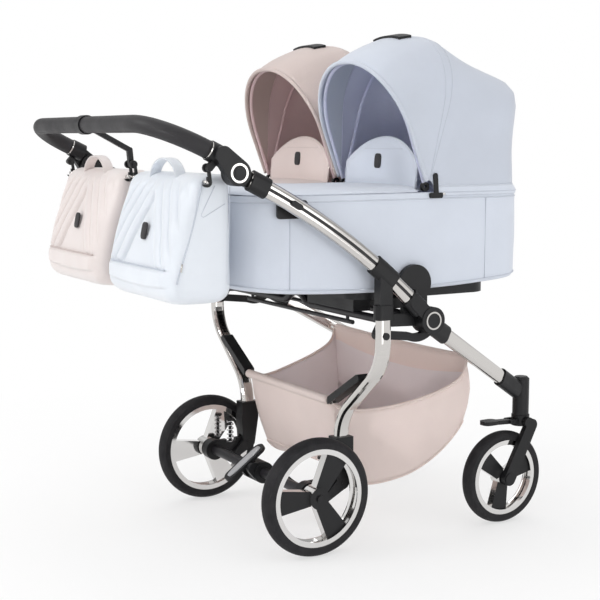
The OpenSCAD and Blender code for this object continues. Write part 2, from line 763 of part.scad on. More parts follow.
// Section swept along points and closed at both ends; its second axis keeps close to a given direction
module swept(points, section, along) {
    n = len(points);
    sides = len(section);
    rings = [for (i = [0 : n - 1])
        let (ahead = points[min(i + 1, n - 1)] - points[max(i - 1, 0)], t = ahead / norm(ahead),
             u = cross(t, along) / norm(cross(t, along)), v = cross(u, t))
        for (p = section) points[i] + u * p.x + v * p.y];
    walls = [for (i = [0 : n - 2], k = [0 : sides - 1])
        let (a = i * sides + k, b = i * sides + (k + 1) % sides)
        each [[a, a + sides, b], [b, a + sides, b + sides]]];
    first = [for (k = [1 : sides - 2]) [0, k, k + 1]];
    last = [for (k = [1 : sides - 2]) [(n - 1) * sides, (n - 1) * sides + k + 1, (n - 1) * sides + k]];
    polyhedron(points = rings, faces = concat(walls, first, last), convexity = 10);
}

// Least gap of the spring to itself, between points at least half a turn apart
spring_gap = min([for (i = [0 : spring_n], j = [i + spring_steps / 2 : spring_n])
    norm(spring_point(i) - spring_point(j))]) - 2 * spring_wire;
echo(spring_least_gap = spring_gap);

module springs() color(spring_c) from_axle() pair()
    translate([spring_x, leg_low_y, 0]) swept(spring_path(), round_ring(spring_wire, 6), [0, 0, 1]);

module brake_housing() color(black_c) from_axle() difference() {
    union() {
        pin([0, axle_z], 26, -36, 36);
        plate(-32, 32) taper([0, axle_z], 26, [-26, axle_z + 12], 14);
    }
    pin([0, axle_z], axle_tube_r + slip, -40, 40);
    plate(-pedal_w / 2 - 1, pedal_w / 2 + 1) translate([-80, axle_z - 40]) square([66, 100]);
    pin(pedal_p, pedal_pin_r + fit, -40, 40);
}

pedal_p = [-28, axle_z + 14];
pedal_pin_r = 4;
pedal_l = 124;
pedal_w = 38;
pedal_a = 36;

module brake_pedal() color(black_c) from_axle() {
    pin(pedal_p, pedal_pin_r, -32, 32);
    translate([pedal_p.x, 0, pedal_p.y]) rotate([0, -pedal_a, 0]) translate([0, 0, 5.5])
        linear_extrude(8) oval(pedal_l, pedal_w);
    pin(pedal_p, 9, -16, 16);
}

// Brake cable from the housing to each hub carrier, in front of the axle
cable_r = 2.5;
function cable_path() = [
    [19, 36.4, axle_z + 4], [25, 46, axle_z + 6], [32, 62, axle_z + 4], [36, 85, axle_z - 2], [37, 115, axle_z - 8],
    [36, 145, axle_z - 8], [33, 175, axle_z - 3], [28, 198, axle_z + 1], [22, 212, axle_z + 2], [16, 222, axle_z + 2]
];

module brake_cables() color(black_c) from_axle() pair() swept(cable_path(), round_ring(cable_r, 8), [0, 0, 1]);

// Wheel pieces, with the axle along Y
module wheel_at(x, y, z) { from_axle() translate([x, y, z]) rotate([-90, 0, 0]) children(); }

module tyre(r, w, rim_r) color(tyre_c) rotate_extrude($fn = 96) intersection() {
    crown = w * 0.62;
    translate([r - crown, 0]) circle(r = crown);
    translate([rim_r, -w / 2]) square([r - rim_r, w]);
}

module rim(rim_r, w) color(chrome_c) rotate_extrude($fn = 96) {
    half = w / 2 - 2;
    polygon([[rim_r - 12, -half], [rim_r, -half], [rim_r, half], [rim_r - 12, half], [rim_r - 12, half - 3],
             [rim_r - 5, half - 6], [rim_r - 5, 6 - half], [rim_r - 12, 3 - half]]);
}

// Half width of a spoke at the hub, and at the rim as a share of the rim's radius
spoke_root = 14;
spoke_end = 0.29;

// Hub with spokes that widen to the rim
module spider(rim_r, w, bore_r, turn) color(black_c) difference() {
    reach = rim_r - 5 - slip;
    rib = w - 16;
    union() {
        translate([0, 0, -w / 2]) cylinder(r = rim_r * 0.22, h = w);
        translate([0, 0, -rib / 2]) linear_extrude(rib) for (i = [0 : spoke_count - 1])
            rotate(turn + i * 360 / spoke_count) intersection() {
                polygon([[0, -spoke_root], [reach + 9, -spoke_end * reach], [reach + 9, spoke_end * reach],
                         [0, spoke_root]]);
                circle(r = reach);
            }
    }
    translate([0, 0, -w]) cylinder(r = bore_r + fit, h = 2 * w);
}

module rear_tyre(side) wheel_at(0, side * rear_track / 2, axle_z) tyre(rear_wheel_r, rear_tyre_w, rear_rim_r);
module rear_rim(side) wheel_at(0, side * rear_track / 2, axle_z) rim(rear_rim_r, rear_tyre_w);
module rear_spider(side)
    wheel_at(0, side * rear_track / 2, axle_z) spider(rear_rim_r, rear_tyre_w, axle_pin_r, 180);

module front_tyre(side)
    wheel_at(wheelbase, side * caster_y, front_wheel_r) tyre(front_wheel_r, front_tyre_w, front_rim_r);
module front_rim(side) wheel_at(wheelbase, side * caster_y, front_wheel_r) rim(front_rim_r, front_tyre_w);
module front_spider(side)
    wheel_at(wheelbase, side * caster_y, front_wheel_r) spider(front_rim_r, front_tyre_w, fork_pin_r, 100);

// Caster fork: stem, crown and one outer arm down to the axle
fork_pin_r = 7;
fork_arm = [caster_y + front_tyre_w / 2 + 3, caster_y + front_tyre_w / 2 + 17];
fork_hub = [wheelbase, front_wheel_r];

module fork(side) color(black_c) from_axle() on_side(side) difference() {
    knee = [caster_x + 10, crown_z[0] + 4];
    union() {
        translate([caster_x, caster_y, 0]) rotate_extrude()
            polygon([[0, crown_z[0]], [socket_r + 2, crown_z[0]], [socket_r + 2, crown_z[1]],
                     [stem_r, crown_z[1]], [stem_r, socket_z[1] - 14], [0, socket_z[1] - 14]]);
        plate(fork_arm[0], fork_arm[1]) {
            taper(fork_hub, 17, knee, 15);
            bar(knee, [caster_x, crown_z[1] - 15], 25);
        }
        plate(caster_y, fork_arm[0] + 6) bar([caster_x, crown_z[1] - 15], [caster_x + 4, crown_z[1] - 15], 20);
        plate(caster_y - 15, caster_y + 15) bar([caster_x, crown_z[1] - 14], [lever_p.x, crown_z[1] - 14], 12);
        pin(fork_hub, fork_pin_r, caster_y - front_tyre_w / 2 - 4, fork_arm[0] + 2);
        pin(fork_hub, 14, fork_arm[0] + 1, fork_arm[1] + 2);
    }
    plate(caster_y - 9 - skin_gap, caster_y + 9 + skin_gap) translate(lever_p - [40, 9]) square([49, 30]);
    pin(lever_p, lever_pin_r + fit, caster_y - 20, caster_y + 20);
}

// Swivel lock lever behind the caster
lever_p = [caster_x - 36, crown_z[1] - 14];
lever_pin_r = 3;
lever_l = 84;

module lock_lever(side) color(black_c) from_axle() on_side(side) {
    pin(lever_p, lever_pin_r, caster_y - 14, caster_y + 14);
    plate(caster_y - 9, caster_y + 9) difference() {
        bar(lever_p, lever_p + [-lever_l + 20, 3], 10);
        translate(lever_p + [-lever_l, -30]) square([lever_l - 30, 26]);
    }
    translate([lever_p.x - lever_l + 24, caster_y, lever_p.y - 1]) linear_extrude(9) round_rect(44, 34, 14);
}

// Plan of a carrycot: a rectangle with round corners, drawn in by an inset
module cot_plan(inset) {
    half = cot_w / 2 - inset;
    foot_x = foot_corner - cot_back;
    head_x = cot_front - head_corner;
    foot_r = foot_corner - inset;
    head_r = head_corner - inset;
    translate([foot_x, cot_y - half]) square([head_x - foot_x, 2 * half]);
    translate([foot_x - foot_r, cot_y - half + foot_r]) square([foot_r + 9, 2 * (half - foot_r)]);
    translate([head_x - 9, cot_y - half + head_r]) square([head_r + 9, 2 * (half - head_r)]);
    for (s = [-1, 1]) {
        translate([foot_x, cot_y + s * (half - foot_r)]) circle(r = foot_r);
        translate([head_x, cot_y + s * (half - head_r)]) circle(r = head_r);
    }
}

// Large roller that shapes the curved underside
module rocker() {
    translate([cot_mid_x, 0, cot_floor_z + rocker_r]) rotate([-90, 0, 0]) cylinder(r = rocker_r, h = cot_w + 60, $fn = 720);
}

module cot_shell(side, tint) color(tint) from_axle() on_side(side) {
    difference() {
        intersection() {
            translate([0, 0, cot_floor_z - 10]) linear_extrude(cot_rim_z - cot_floor_z + 10) cot_plan(0);
            rocker();
        }
        translate([0, 0, cot_inner_z]) linear_extrude(cot_rim_z) cot_plan(cot_wall);
    }
    for (s = [-1, 1]) {
        lug = cot_y + s * lug_half;
        wall = cot_y + s * (cot_w / 2 - cot_wall + 1);
        plate(min(lug, lug - s * 6), max(lug, lug - s * 6)) taper([hood_x, hood_z], 10, [hood_x, hood_z - 40], 16);
        plate(min(lug - s * 6, wall), max(lug - s * 6, wall)) translate([hood_x - 14, hood_z - 50]) square([28, 36]);
        pin([hood_x, hood_z], hood_pin_r, min(lug - s, lug + s * 9), max(lug - s, lug + s * 9));
    }
}

// Cover over the foot half, with its raised wind flap
module cot_apron(side, tint) color(tint) from_axle() on_side(side) {
    flap_base = [apron_end - 10, cot_rim_z + apron_t - 5];
    flap_lean = 5;
    flap_half = 146;
    flap_arc = 210;
    flap_drop = 92;
    tongue_half = flap_half + 4;
    translate([0, 0, cot_rim_z]) linear_extrude(apron_t) intersection() {
        cot_plan(1);
        union() {
            translate([-cot_back - 9, 0]) square([cot_back + 9 + apron_side_end, cot_w + cot_gap]);
            translate([0, cot_y - tongue_half]) square([apron_end, 2 * tongue_half]);
        }
    }
    translate([flap_base.x, cot_y, flap_base.y]) rotate([0, flap_lean, 0]) rotate([90, 0, 90])
        linear_extrude(9) intersection() {
            translate([0, -flap_drop]) circle(r = flap_arc);
            translate([-flap_half, 0]) square([2 * flap_half, flap_arc]);
        }
}

// Black tray under a carrycot, with feet on the two crossbars, and two plates on the carrycot's outer side
module cot_base(side) color(black_c) from_axle() on_side(side) {
    plate_y = cot_y + cot_w / 2 + fit;
    plate_t = 5.5;
    difference() {
        union() {
            translate([cot_mid_x + 88, cot_y, cot_floor_z - 17]) linear_extrude(40) round_rect(366, 318, 50);
            for (seat = [rear_bar, front_bar])
                translate([seat.x - 22, cot_y - 100, foot_z]) cube([44, 200, cot_floor_z - foot_z]);
        }
        rocker();
    }
    plate(plate_y, plate_y + plate_t) translate([-114, cot_rim_z - 28]) round_rect(72, 38, 8);
    plate(plate_y, plate_y + plate_t) translate([hood_x + 20, cot_rim_z - 7]) round_rect(34, 12, 4);
    plate(plate_y + 2.2, plate_y + plate_t - 0.5) bar([hood_x + 20, hood_z - 17], [hood_x + 17, hood_z + 24], 12);
}

module mattress(side) color("#efeae6") from_axle() on_side(side)
    translate([0, 0, cot_inner_z + skin_gap]) linear_extrude(mattress_t) cot_plan(cot_wall + 22);

// Hoops of the hood, with their hubs and the carry handle on top
module hood_bow(side) color(black_c) from_axle() on_side(side) {
    difference() {
        union() {
            for (lean = [visor_lean + 2, hoop_lean]) {
                top = hood_r(lean) - hood_t - hoop_r - 2;
                translate([hood_x, cot_y + hoop_half, hood_z]) rotate([0, lean, 0]) rotate([0, 0, -90])
                    pipe([[top - hoop_half, hoop_half, 180], [top - hoop_half, 0, 0]]) circle(r = hoop_r);
            }
            for (s = [-1, 1]) pin([hood_x, hood_z], hood_hub_r, cot_y + s * hoop_half - 4.5, cot_y + s * hoop_half + 4.5);
        }
        for (s = [-1, 1])
            pin([hood_x, hood_z], hood_pin_r + fit, cot_y + s * hoop_half - 9, cot_y + s * hoop_half + 9);
    }
    grip_lean = 4;
    grip_tilt = 13.4;
    grip_arc = 230;
    grip_w = 34;
    translate([hood_x, cot_y, hood_z]) rotate([0, grip_lean, 0]) translate([0, 0, hood_r(grip_lean) + 0.4])
        rotate([0, -grip_tilt, 0]) translate([grip_w / 2, 0, -grip_arc])
            rotate([0, -90, 0]) rotate([0, 0, -13]) rotate_extrude(angle = 26)
                translate([grip_arc, 0]) square([7, grip_w]);
}

// Cloth of the hood: one shell through ribs that fan out from the hinge
fan_steps = 4;
arc_steps = 7;
function fan(a, b) = [for (i = [1 : fan_steps]) a + (b - a) * i / fan_steps];
function rib(a, inset) =
    let (half = hood_half - inset, corner = hood_corner(a) - inset, straight = hood_r(a) - inset - corner)
    [for (p = concat(
        [[half, hood_hole], [half, (hood_hole + straight) / 2]],
        [for (s = [1, -1], k = [0 : arc_steps])
            let (turn = 90 * (s > 0 ? k : arc_steps - k) / arc_steps)
            [s * (half - corner + corner * cos(turn)), straight + corner * sin(turn)]],
        [[-half, (hood_hole + straight) / 2], [-half, hood_hole]]
    )) [hood_x + p.y * sin(a), cot_y + p.x, hood_z + p.y * cos(a)]];

module hood_canopy(side, tint) color(tint) from_axle() on_side(side) {
    leans = concat([visor_lean], fan(visor_lean, hoop_lean), fan(hoop_lean, hood_knuckle[0]),
                   fan(hood_knuckle[0], hood_end));
    m = 2 * arc_steps + 6;
    n = len(leans);
    outer = [for (a = leans) each rib(a, 0)];
    inner = [for (a = leans) each rib(a, hood_t)];
    skin = [for (i = [0 : n - 2], k = [0 : m - 2])
        let (a = i * m + k) each [[a, a + m, a + 1], [a + 1, a + m, a + m + 1]]];
    lining = [for (f = skin) [f[0] + n * m, f[2] + n * m, f[1] + n * m]];
    edge = concat([for (k = [0 : m - 1]) k], [for (i = [1 : n - 1]) i * m + m - 1],
                  [for (k = [m - 2 : -1 : 0]) (n - 1) * m + k], [for (i = [n - 2 : -1 : 1]) i * m]);
    hem = [for (i = [0 : len(edge) - 1])
        let (a = edge[i], b = edge[(i + 1) % len(edge)]) each [[a, b, a + n * m], [b, b + n * m, a + n * m]]];
    polyhedron(points = concat(outer, inner), faces = concat(skin, lining, hem), convexity = 8);
}

front_legs();
fold_housings();
crossbars();
cot_supports();
caster_sockets();
basket();
upper_tubes();
tube_sleeves();
fold_covers();
fold_rings();
handle_hubs();
fold_sliders();
handle_tube();
handle_grip();
handle_arms();
handle_rings();
hook_bar();
handle_button(1);  // handle_button_left
handle_button(-1);  // handle_button_right
bag_clips();
bag(1, pink_c);  // bag_left
bag(-1, blue_c);  // bag_right
rear_legs();
leg_fittings();
leg_brackets();
basket_bar();
axle_tube();
axle_arms();
springs();
brake_housing();
brake_cables();
brake_pedal();
rear_tyre(1);  // rear_tyre_left
rear_rim(1);  // rear_rim_left
rear_spider(1);  // rear_spider_left
rear_tyre(-1);  // rear_tyre_right
rear_rim(-1);  // rear_rim_right
rear_spider(-1);  // rear_spider_right
front_tyre(1);  // front_tyre_left
front_rim(1);  // front_rim_left
front_spider(1);  // front_spider_left
front_tyre(-1);  // front_tyre_right
front_rim(-1);  // front_rim_right
front_spider(-1);  // front_spider_right
fork(1);  // fork_left
fork(-1);  // fork_right
lock_lever(1);  // lock_lever_left
lock_lever(-1);  // lock_lever_right
cot_shell(1, pink_c);  // cot_shell_left
cot_apron(1, pink_c);  // cot_apron_left
cot_base(1);  // cot_base_left
mattress(1);  // mattress_left
cot_shell(-1, blue_c);  // cot_shell_right
cot_apron(-1, blue_c);  // cot_apron_right
cot_base(-1);  // cot_base_right
mattress(-1);  // mattress_right
hood_bow(1);  // hood_bow_left
hood_canopy(1, pink_c);  // hood_canopy_left
hood_bow(-1);  // hood_bow_right
hood_canopy(-1, blue_c);  // hood_canopy_right
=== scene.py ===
"""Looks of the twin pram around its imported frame: cloth, quilting, trims, finishes, camera and light."""
from math import cos, exp, pi, radians, sin, sqrt

import bpy
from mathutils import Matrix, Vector, noise


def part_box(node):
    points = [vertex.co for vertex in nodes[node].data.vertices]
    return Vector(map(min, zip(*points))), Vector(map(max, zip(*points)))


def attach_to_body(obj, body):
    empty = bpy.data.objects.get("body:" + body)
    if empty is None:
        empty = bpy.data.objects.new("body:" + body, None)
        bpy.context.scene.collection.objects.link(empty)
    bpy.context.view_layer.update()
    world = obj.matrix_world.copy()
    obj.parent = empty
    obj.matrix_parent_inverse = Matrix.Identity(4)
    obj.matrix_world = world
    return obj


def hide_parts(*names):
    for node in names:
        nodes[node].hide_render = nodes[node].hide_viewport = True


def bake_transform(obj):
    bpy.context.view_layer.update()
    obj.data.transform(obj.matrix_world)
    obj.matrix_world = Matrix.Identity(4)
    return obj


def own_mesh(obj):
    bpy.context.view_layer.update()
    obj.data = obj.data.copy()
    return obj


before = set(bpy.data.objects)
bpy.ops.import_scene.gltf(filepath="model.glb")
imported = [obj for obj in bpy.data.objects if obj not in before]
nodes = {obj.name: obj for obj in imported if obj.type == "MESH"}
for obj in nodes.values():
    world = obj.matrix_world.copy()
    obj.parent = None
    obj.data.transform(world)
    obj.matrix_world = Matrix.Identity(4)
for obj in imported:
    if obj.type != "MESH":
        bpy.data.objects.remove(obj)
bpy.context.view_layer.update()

scene = bpy.context.scene
scene.view_settings.view_transform = "Standard"

# Camera, as it was worked out from the photograph
camera = bpy.data.objects.new("camera", bpy.data.cameras.new("camera"))
camera.data.lens = 76.65
camera.data.sensor_width = 36
camera.location = (-1.526, -2.655, 0.933)
camera.rotation_euler = Vector((0.4993, 0.8571, -0.12675)).to_track_quat("-Z", "Y").to_euler()
scene.collection.objects.link(camera)
scene.camera = camera

# Sizes in millimetres, measured from a point on the floor below the rear axle
AXLE_X = -99.12116
COT_MIDDLE = 186
COT_BACK = -215
COT_FRONT = 524
COT_HALF = 180
FOOT_CORNER = 105
HEAD_CORNER = 92
COT_FLOOR = 597
COT_RISE = 18
COT_RIM = 812
COT_INSIDE = 640.5
APRON_END = 238
HOOD_HINGE = (232, 824)
HOOD_HALF = 181
HOOD_REACH = 382
HOOD_HOLE = 14
HOOD_PEAK = 52
HOOD_END = 90
HOOD_KNUCKLE = (53, 384)
HOOD_BACK = 284
HOOD_BACK_CORNER = 92
HOOP_LEAN = 15
VISOR_LEAN = -21
LINING_LEAN = 1
SIDES = (("left", 1, "pink"), ("right", -1, "blue"))


def at(x, y, z):
    """A point from millimetres behind or ahead of the rear axle to metres in the row frame."""
    return Vector(((x + AXLE_X) / 1000, y / 1000, z / 1000))


def linear(red, green, blue):
    """A display colour from 0 to 255 as the linear colour that a shader takes."""
    channels = (red / 255, green / 255, blue / 255)
    return tuple(c / 12.92 if c < 0.04045 else ((c + 0.055) / 1.055) ** 2.4 for c in channels) + (1,)


# Finishes, with scales per metre and depths in metres
DULL = 0.3
TONE_DRIFT = 0.95
DRIFT_SPAN = (0.3, 0.7)
WEAVE_SCALE = 260.0
WEAVE_DEPTH = 0.0003
CREASE_SCALE = 14.0
CREASE_DEPTH = 0.004
TREAD_SLANT = 26
TREAD_SLOTS = 30
TREAD_EDGE = 0.85
TREAD_DEPTH = 0.0015


def start_material(name, colour, roughness, metallic=0.0):
    material = bpy.data.materials.new(name)
    material.use_nodes = True
    shader = material.node_tree.nodes["Principled BSDF"]
    shader.inputs["Base Color"].default_value = colour
    shader.inputs["Roughness"].default_value = roughness
    shader.inputs["Metallic"].default_value = metallic
    return material, material.node_tree, shader


def add(tree, kind, settings=None, **values):
    """A shader node with some of its sockets and settings filled in."""
    made = tree.nodes.new(kind)
    for key, value in (settings or {}).items():
        setattr(made, key, value)
    for key, value in values.items():
        made.inputs[key.replace("_", " ")].default_value = value
    return made


def maths(tree, operation, *values):
    """Result of a calculation on shader values, each of them an output or a plain number."""
    made = add(tree, "ShaderNodeMath", {"operation": operation})
    for socket, value in zip(made.inputs, values):
        if isinstance(value, bpy.types.NodeSocket):
            tree.links.new(value, socket)
        else:
            socket.default_value = value
    return made.outputs["Value"]


def end_with_mix(tree, share, first, second):
    """Send a mix of two shaders to the material's surface; the share is an output or a plain number."""
    mixed = add(tree, "ShaderNodeMixShader")
    if isinstance(share, bpy.types.NodeSocket):
        tree.links.new(share, mixed.inputs[0])
    else:
        mixed.inputs[0].default_value = share
    tree.links.new(first, mixed.inputs[1])
    tree.links.new(second, mixed.inputs[2])
    tree.links.new(mixed.outputs["Shader"], tree.nodes["Material Output"].inputs["Surface"])


def place(tree, texture):
    """Feed a texture with the piece's own coordinates."""
    source = tree.nodes.get("place") or tree.nodes.new("ShaderNodeTexCoord")
    source.name = "place"
    tree.links.new(source.outputs["Object"], texture.inputs["Vector"])
    return texture


def bump(tree, shader, height, distance, strength):
    """Add a height to the surface's relief, on top of any relief that it has."""
    relief = add(tree, "ShaderNodeBump", Distance=distance, Strength=strength)
    tree.links.new(height, relief.inputs["Height"])
    normal = shader.inputs["Normal"]
    if normal.is_linked:
        tree.links.new(normal.links[0].from_socket, relief.inputs["Normal"])
    tree.links.new(relief.outputs["Normal"], normal)


def vary(tree, socket, low, high, scale):
    """Let a colour or a value drift between two settings over the piece."""
    drift = place(tree, add(tree, "ShaderNodeTexNoise", Scale=scale, Detail=3.0))
    ramp = add(tree, "ShaderNodeValToRGB")
    for stop, value, position in zip(ramp.color_ramp.elements, (low, high), DRIFT_SPAN):
        stop.position = position
        stop.color = value if hasattr(value, "__len__") else (value, value, value, 1)
    tree.links.new(drift.outputs["Fac"], ramp.inputs["Fac"])
    tree.links.new(ramp.outputs["Color"], socket)


def shade(colour, share):
    return tuple(c * share for c in colour[:3]) + (1,)


def cloth(name, colour, roughness, sheen=0.25, crease=0.5):
    """Woven cloth: fine crossed threads, faint creases and a soft drift of tone."""
    material, tree, shader = start_material(name, colour, roughness)
    vary(tree, shader.inputs["Base Color"], shade(colour, TONE_DRIFT), colour, 9)
    shader.inputs["Sheen Weight"].default_value = sheen
    shader.inputs["Specular IOR Level"].default_value = DULL
    for direction in ("X", "Z"):
        settings = {"bands_direction": direction}
        threads = place(tree, add(tree, "ShaderNodeTexWave", settings, Scale=WEAVE_SCALE, Distortion=1.0))
        bump(tree, shader, threads.outputs["Fac"], WEAVE_DEPTH, 0.12)
    creases = place(tree, add(tree, "ShaderNodeTexNoise", Scale=CREASE_SCALE, Detail=4.0, Distortion=0.6))
    bump(tree, shader, creases.outputs["Fac"], CREASE_DEPTH, crease * 0.25)
    return material


def let_light_through(material, colour, share):
    """Make thin cloth pass a share of the light that falls on its other side."""
    tree = material.node_tree
    glow = add(tree, "ShaderNodeBsdfTranslucent", Color=colour)
    end_with_mix(tree, share, tree.nodes["Principled BSDF"].outputs["BSDF"], glow.outputs["BSDF"])


def metal(name, colour, rough_low, rough_high):
    material, tree, shader = start_material(name, colour, rough_low, 1.0)
    vary(tree, shader.inputs["Roughness"], rough_low, rough_high, 30)
    return material


def grained(name, colour, roughness, grain, depth):
    """Moulded plastic or leatherette with a fine pebbled grain."""
    material, tree, shader = start_material(name, colour, roughness)
    vary(tree, shader.inputs["Roughness"], roughness - 0.06, roughness + 0.08, 20)
    shader.inputs["Specular IOR Level"].default_value = DULL
    pebbles = place(tree, add(tree, "ShaderNodeTexVoronoi", Scale=grain))
    bump(tree, shader, pebbles.outputs["Distance"], depth, 0.35)
    return material


def rubber(name, centre):
    """Tyre rubber with slanted tread slots round a wheel's centre."""
    material, tree, shader = start_material(name, linear(32, 31, 34), 0.7)
    vary(tree, shader.inputs["Base Color"], linear(26, 25, 28), linear(38, 37, 39), 40)
    shader.inputs["Specular IOR Level"].default_value = DULL
    split = add(tree, "ShaderNodeSeparateXYZ")
    moved = place(tree, add(tree, "ShaderNodeVectorMath", {"operation": "SUBTRACT"}))
    moved.inputs[1].default_value = centre
    tree.links.new(moved.outputs["Vector"], split.inputs["Vector"])
    turn = maths(tree, "ARCTAN2", split.outputs["X"], split.outputs["Z"])
    slanted = maths(tree, "MULTIPLY_ADD", split.outputs["Y"], TREAD_SLANT, turn)
    wave = maths(tree, "SINE", maths(tree, "MULTIPLY", slanted, TREAD_SLOTS))
    bump(tree, shader, maths(tree, "LESS_THAN", wave, TREAD_EDGE), TREAD_DEPTH, 0.6)
    return material


TINTS = {"blue": linear(207, 213, 224), "pink": linear(221, 207, 203)}
SATINS = {"blue": linear(222, 227, 234), "pink": linear(231, 221, 218)}
HOODS = {"blue": linear(207, 213, 224), "pink": linear(209, 194, 189)}
LININGS = {"blue": linear(236, 238, 252), "pink": linear(246, 229, 231)}
cover = {tint: cloth("cover_" + tint, TINTS[tint], 0.55, crease=0.8) for tint in TINTS}
satin = {tint: cloth("satin_" + tint, SATINS[tint], 0.34, sheen=0.35, crease=0.7) for tint in SATINS}
lining = {tint: cloth("lining_" + tint, LININGS[tint], 0.75, sheen=0.4, crease=2.4) for tint in LININGS}
canopy = {tint: cloth("canopy_" + tint, HOODS[tint], 0.55, crease=0.8) for tint in HOODS}
for tint in TINTS:
    let_light_through(canopy[tint], HOODS[tint], 0.15)
    let_light_through(lining[tint], LININGS[tint], 0.5)
# Seams, piping, hems and zip lines take the cloth's colour at 0.88: partly a real trim, partly painted shade
# along the seam lines
welt_shaded = {tint: cloth("welt_" + tint, shade(TINTS[tint], 0.88), 0.6) for tint in TINTS}
BASKET_TINT = linear(247, 232, 226)
MESH_TINT = linear(243, 240, 243)
basket_cloth = cloth("basket_cloth", BASKET_TINT, 0.62, crease=2.0)
basket_mesh = cloth("basket_mesh", MESH_TINT, 0.8, sheen=0.4, crease=2.0)
let_light_through(basket_cloth, BASKET_TINT, 0.3)
let_light_through(basket_mesh, MESH_TINT, 0.65)
bed_cloth = cloth("bed_cloth", linear(240, 236, 232), 0.8, sheen=0.4, crease=0.6)
chrome = metal("chrome", (0.62, 0.6, 0.58, 1), 0.06, 0.14)
bright_rim = metal("bright_rim", (0.7, 0.69, 0.68, 1), 0.05, 0.12)
spring_wire = metal("spring_wire", (0.7, 0.7, 0.72, 1), 0.16, 0.3)
groove_dark = grained("groove_dark", linear(44, 43, 45), 0.4, 900, 0.0002)
black = grained("black_plastic", linear(24, 24, 26), 0.42, 1100, 0.0002)
dark_tube = grained("dark_tube", linear(34, 33, 36), 0.35, 1500, 0.0001)
leatherette = grained("leatherette", linear(46, 45, 47), 0.5, 420, 0.0006)
pale_inlay = grained("pale_inlay", linear(168, 168, 170), 0.5, 500, 0.0005)
cable_sleeve = grained("cable_sleeve", linear(30, 30, 32), 0.55, 900, 0.0002)

BRIGHT = ("front_legs", "upper_tubes", "rear_legs", "handle_tube", "basket_bar", "fold_rings", "handle_rings")
DARK_TUBES = ("crossbars", "axle_tube")
for name, node in nodes.items():
    finish = black
    if name in BRIGHT:
        finish = chrome
    elif name in DARK_TUBES:
        finish = dark_tube
    elif "_rim_" in name:
        finish = bright_rim
    elif "_tyre_" in name:
        low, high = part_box(name)
        finish = rubber("rubber_" + name, (Vector(low) + Vector(high)) / 2)
    node.data.materials.clear()
    node.data.materials.append(finish)


def second_finish(name, finish, chosen):
    """Give the faces of a CAD node that a test picks another finish."""
    mesh = nodes[name].data
    mesh.materials.append(finish)
    for face in mesh.polygons:
        if chosen(face):
            face.material_index = 1


# Faces of CAD nodes with a second finish: places in metres, and how far a face turns sideways
INNER_FACE = 0.5
GROOVE_FLOOR = (0.4, 0.4075)
SIDEWAYS = 0.9
HOOP_FOOT = 0.84
CARRY_HALF = 0.06
CARRY_SPAN = (0.12, 0.19)
CARRY_LOW = 1.13


def in_groove(face):
    """Whether a face is the floor of the groove in an upper tube's outer side."""
    return GROOVE_FLOOR[0] < abs(face.center.y) < GROOVE_FLOOR[1] and abs(face.normal.y) > SIDEWAYS


def on_carry_handle(p, sign):
    """Whether a point of the hood's hoops lies on the carry handle."""
    near_middle = abs(p.y - sign * COT_MIDDLE / 1000) < CARRY_HALF
    return near_middle and CARRY_SPAN[0] < p.x < CARRY_SPAN[1] and p.z > CARRY_LOW


for side_name, side_sign, side_tint in SIDES:
    for end in ("rear", "front"):
        second_finish("%s_spider_%s" % (end, side_name), bright_rim,
                      lambda face: face.normal.y * side_sign < INNER_FACE)
    second_finish("hood_bow_" + side_name, lining[side_tint],
                  lambda face: face.center.z > HOOP_FOOT and not on_carry_handle(face.center, side_sign))
second_finish("upper_tubes", groove_dark, in_groove)


# Meshes, and the two radii that most trims share
PIPING = 2.6
STITCH = 0.9


def piece(name, points, faces, finishes, marks=None, inside=None):
    """A smooth mesh from points in metres, facing away from a point inside it; marks number its finishes."""
    mesh = bpy.data.meshes.new(name)
    mesh.from_pydata([tuple(p) for p in points], [], faces)
    middle = inside or sum(points, Vector()) / len(points)
    if sum((face.center - middle).dot(face.normal) * face.area for face in mesh.polygons) < 0:
        mesh.flip_normals()
    for finish in finishes:
        mesh.materials.append(finish)
    if marks:
        mesh.polygons.foreach_set("material_index", marks)
    mesh.polygons.foreach_set("use_smooth", [True] * len(mesh.polygons))
    made = bpy.data.objects.new(name, mesh)
    scene.collection.objects.link(made)
    return made


def grid(rows, wrap=False, marks=None):
    """Points and faces of rows of points; wrap joins each row's end to its start."""
    width = len(rows[0])
    points = [p for row in rows for p in row]
    faces = []
    numbers = []
    for i in range(len(rows) - 1):
        for k in range(width if wrap else width - 1):
            n = (k + 1) % width
            faces.append((i * width + k, i * width + n, (i + 1) * width + n, (i + 1) * width + k))
            numbers.append(marks[i] if marks else 0)
    return points, faces, numbers


def loft(name, rows, finishes, marks=None, wrap=True, inside=None):
    """A skin through rows of points, closed at its first and last row where the rows wrap."""
    points, faces, numbers = grid(rows, wrap, marks)
    if wrap:
        width = len(rows[0])
        faces.append(tuple(reversed(range(width))))
        faces.append(tuple(range(len(points) - width, len(points))))
        numbers += [numbers[0], numbers[-1]]
    return piece(name, points, faces, finishes, numbers, inside)


def settle(made):
    """Turn a piece's modifiers into its own mesh."""
    graph = bpy.context.evaluated_depsgraph_get()
    mesh = bpy.data.meshes.new_from_object(made.evaluated_get(graph))
    made.modifiers.clear()
    made.data = mesh
    return made


def thicken(made, thickness, second=0):
    """Give a skin a thickness inwards; its inner side has the finish this many places on in the list."""
    solid = made.modifiers.new("thickness", "SOLIDIFY")
    solid.thickness = thickness / 1000
    solid.offset = -1
    solid.material_offset = second
    return settle(made)


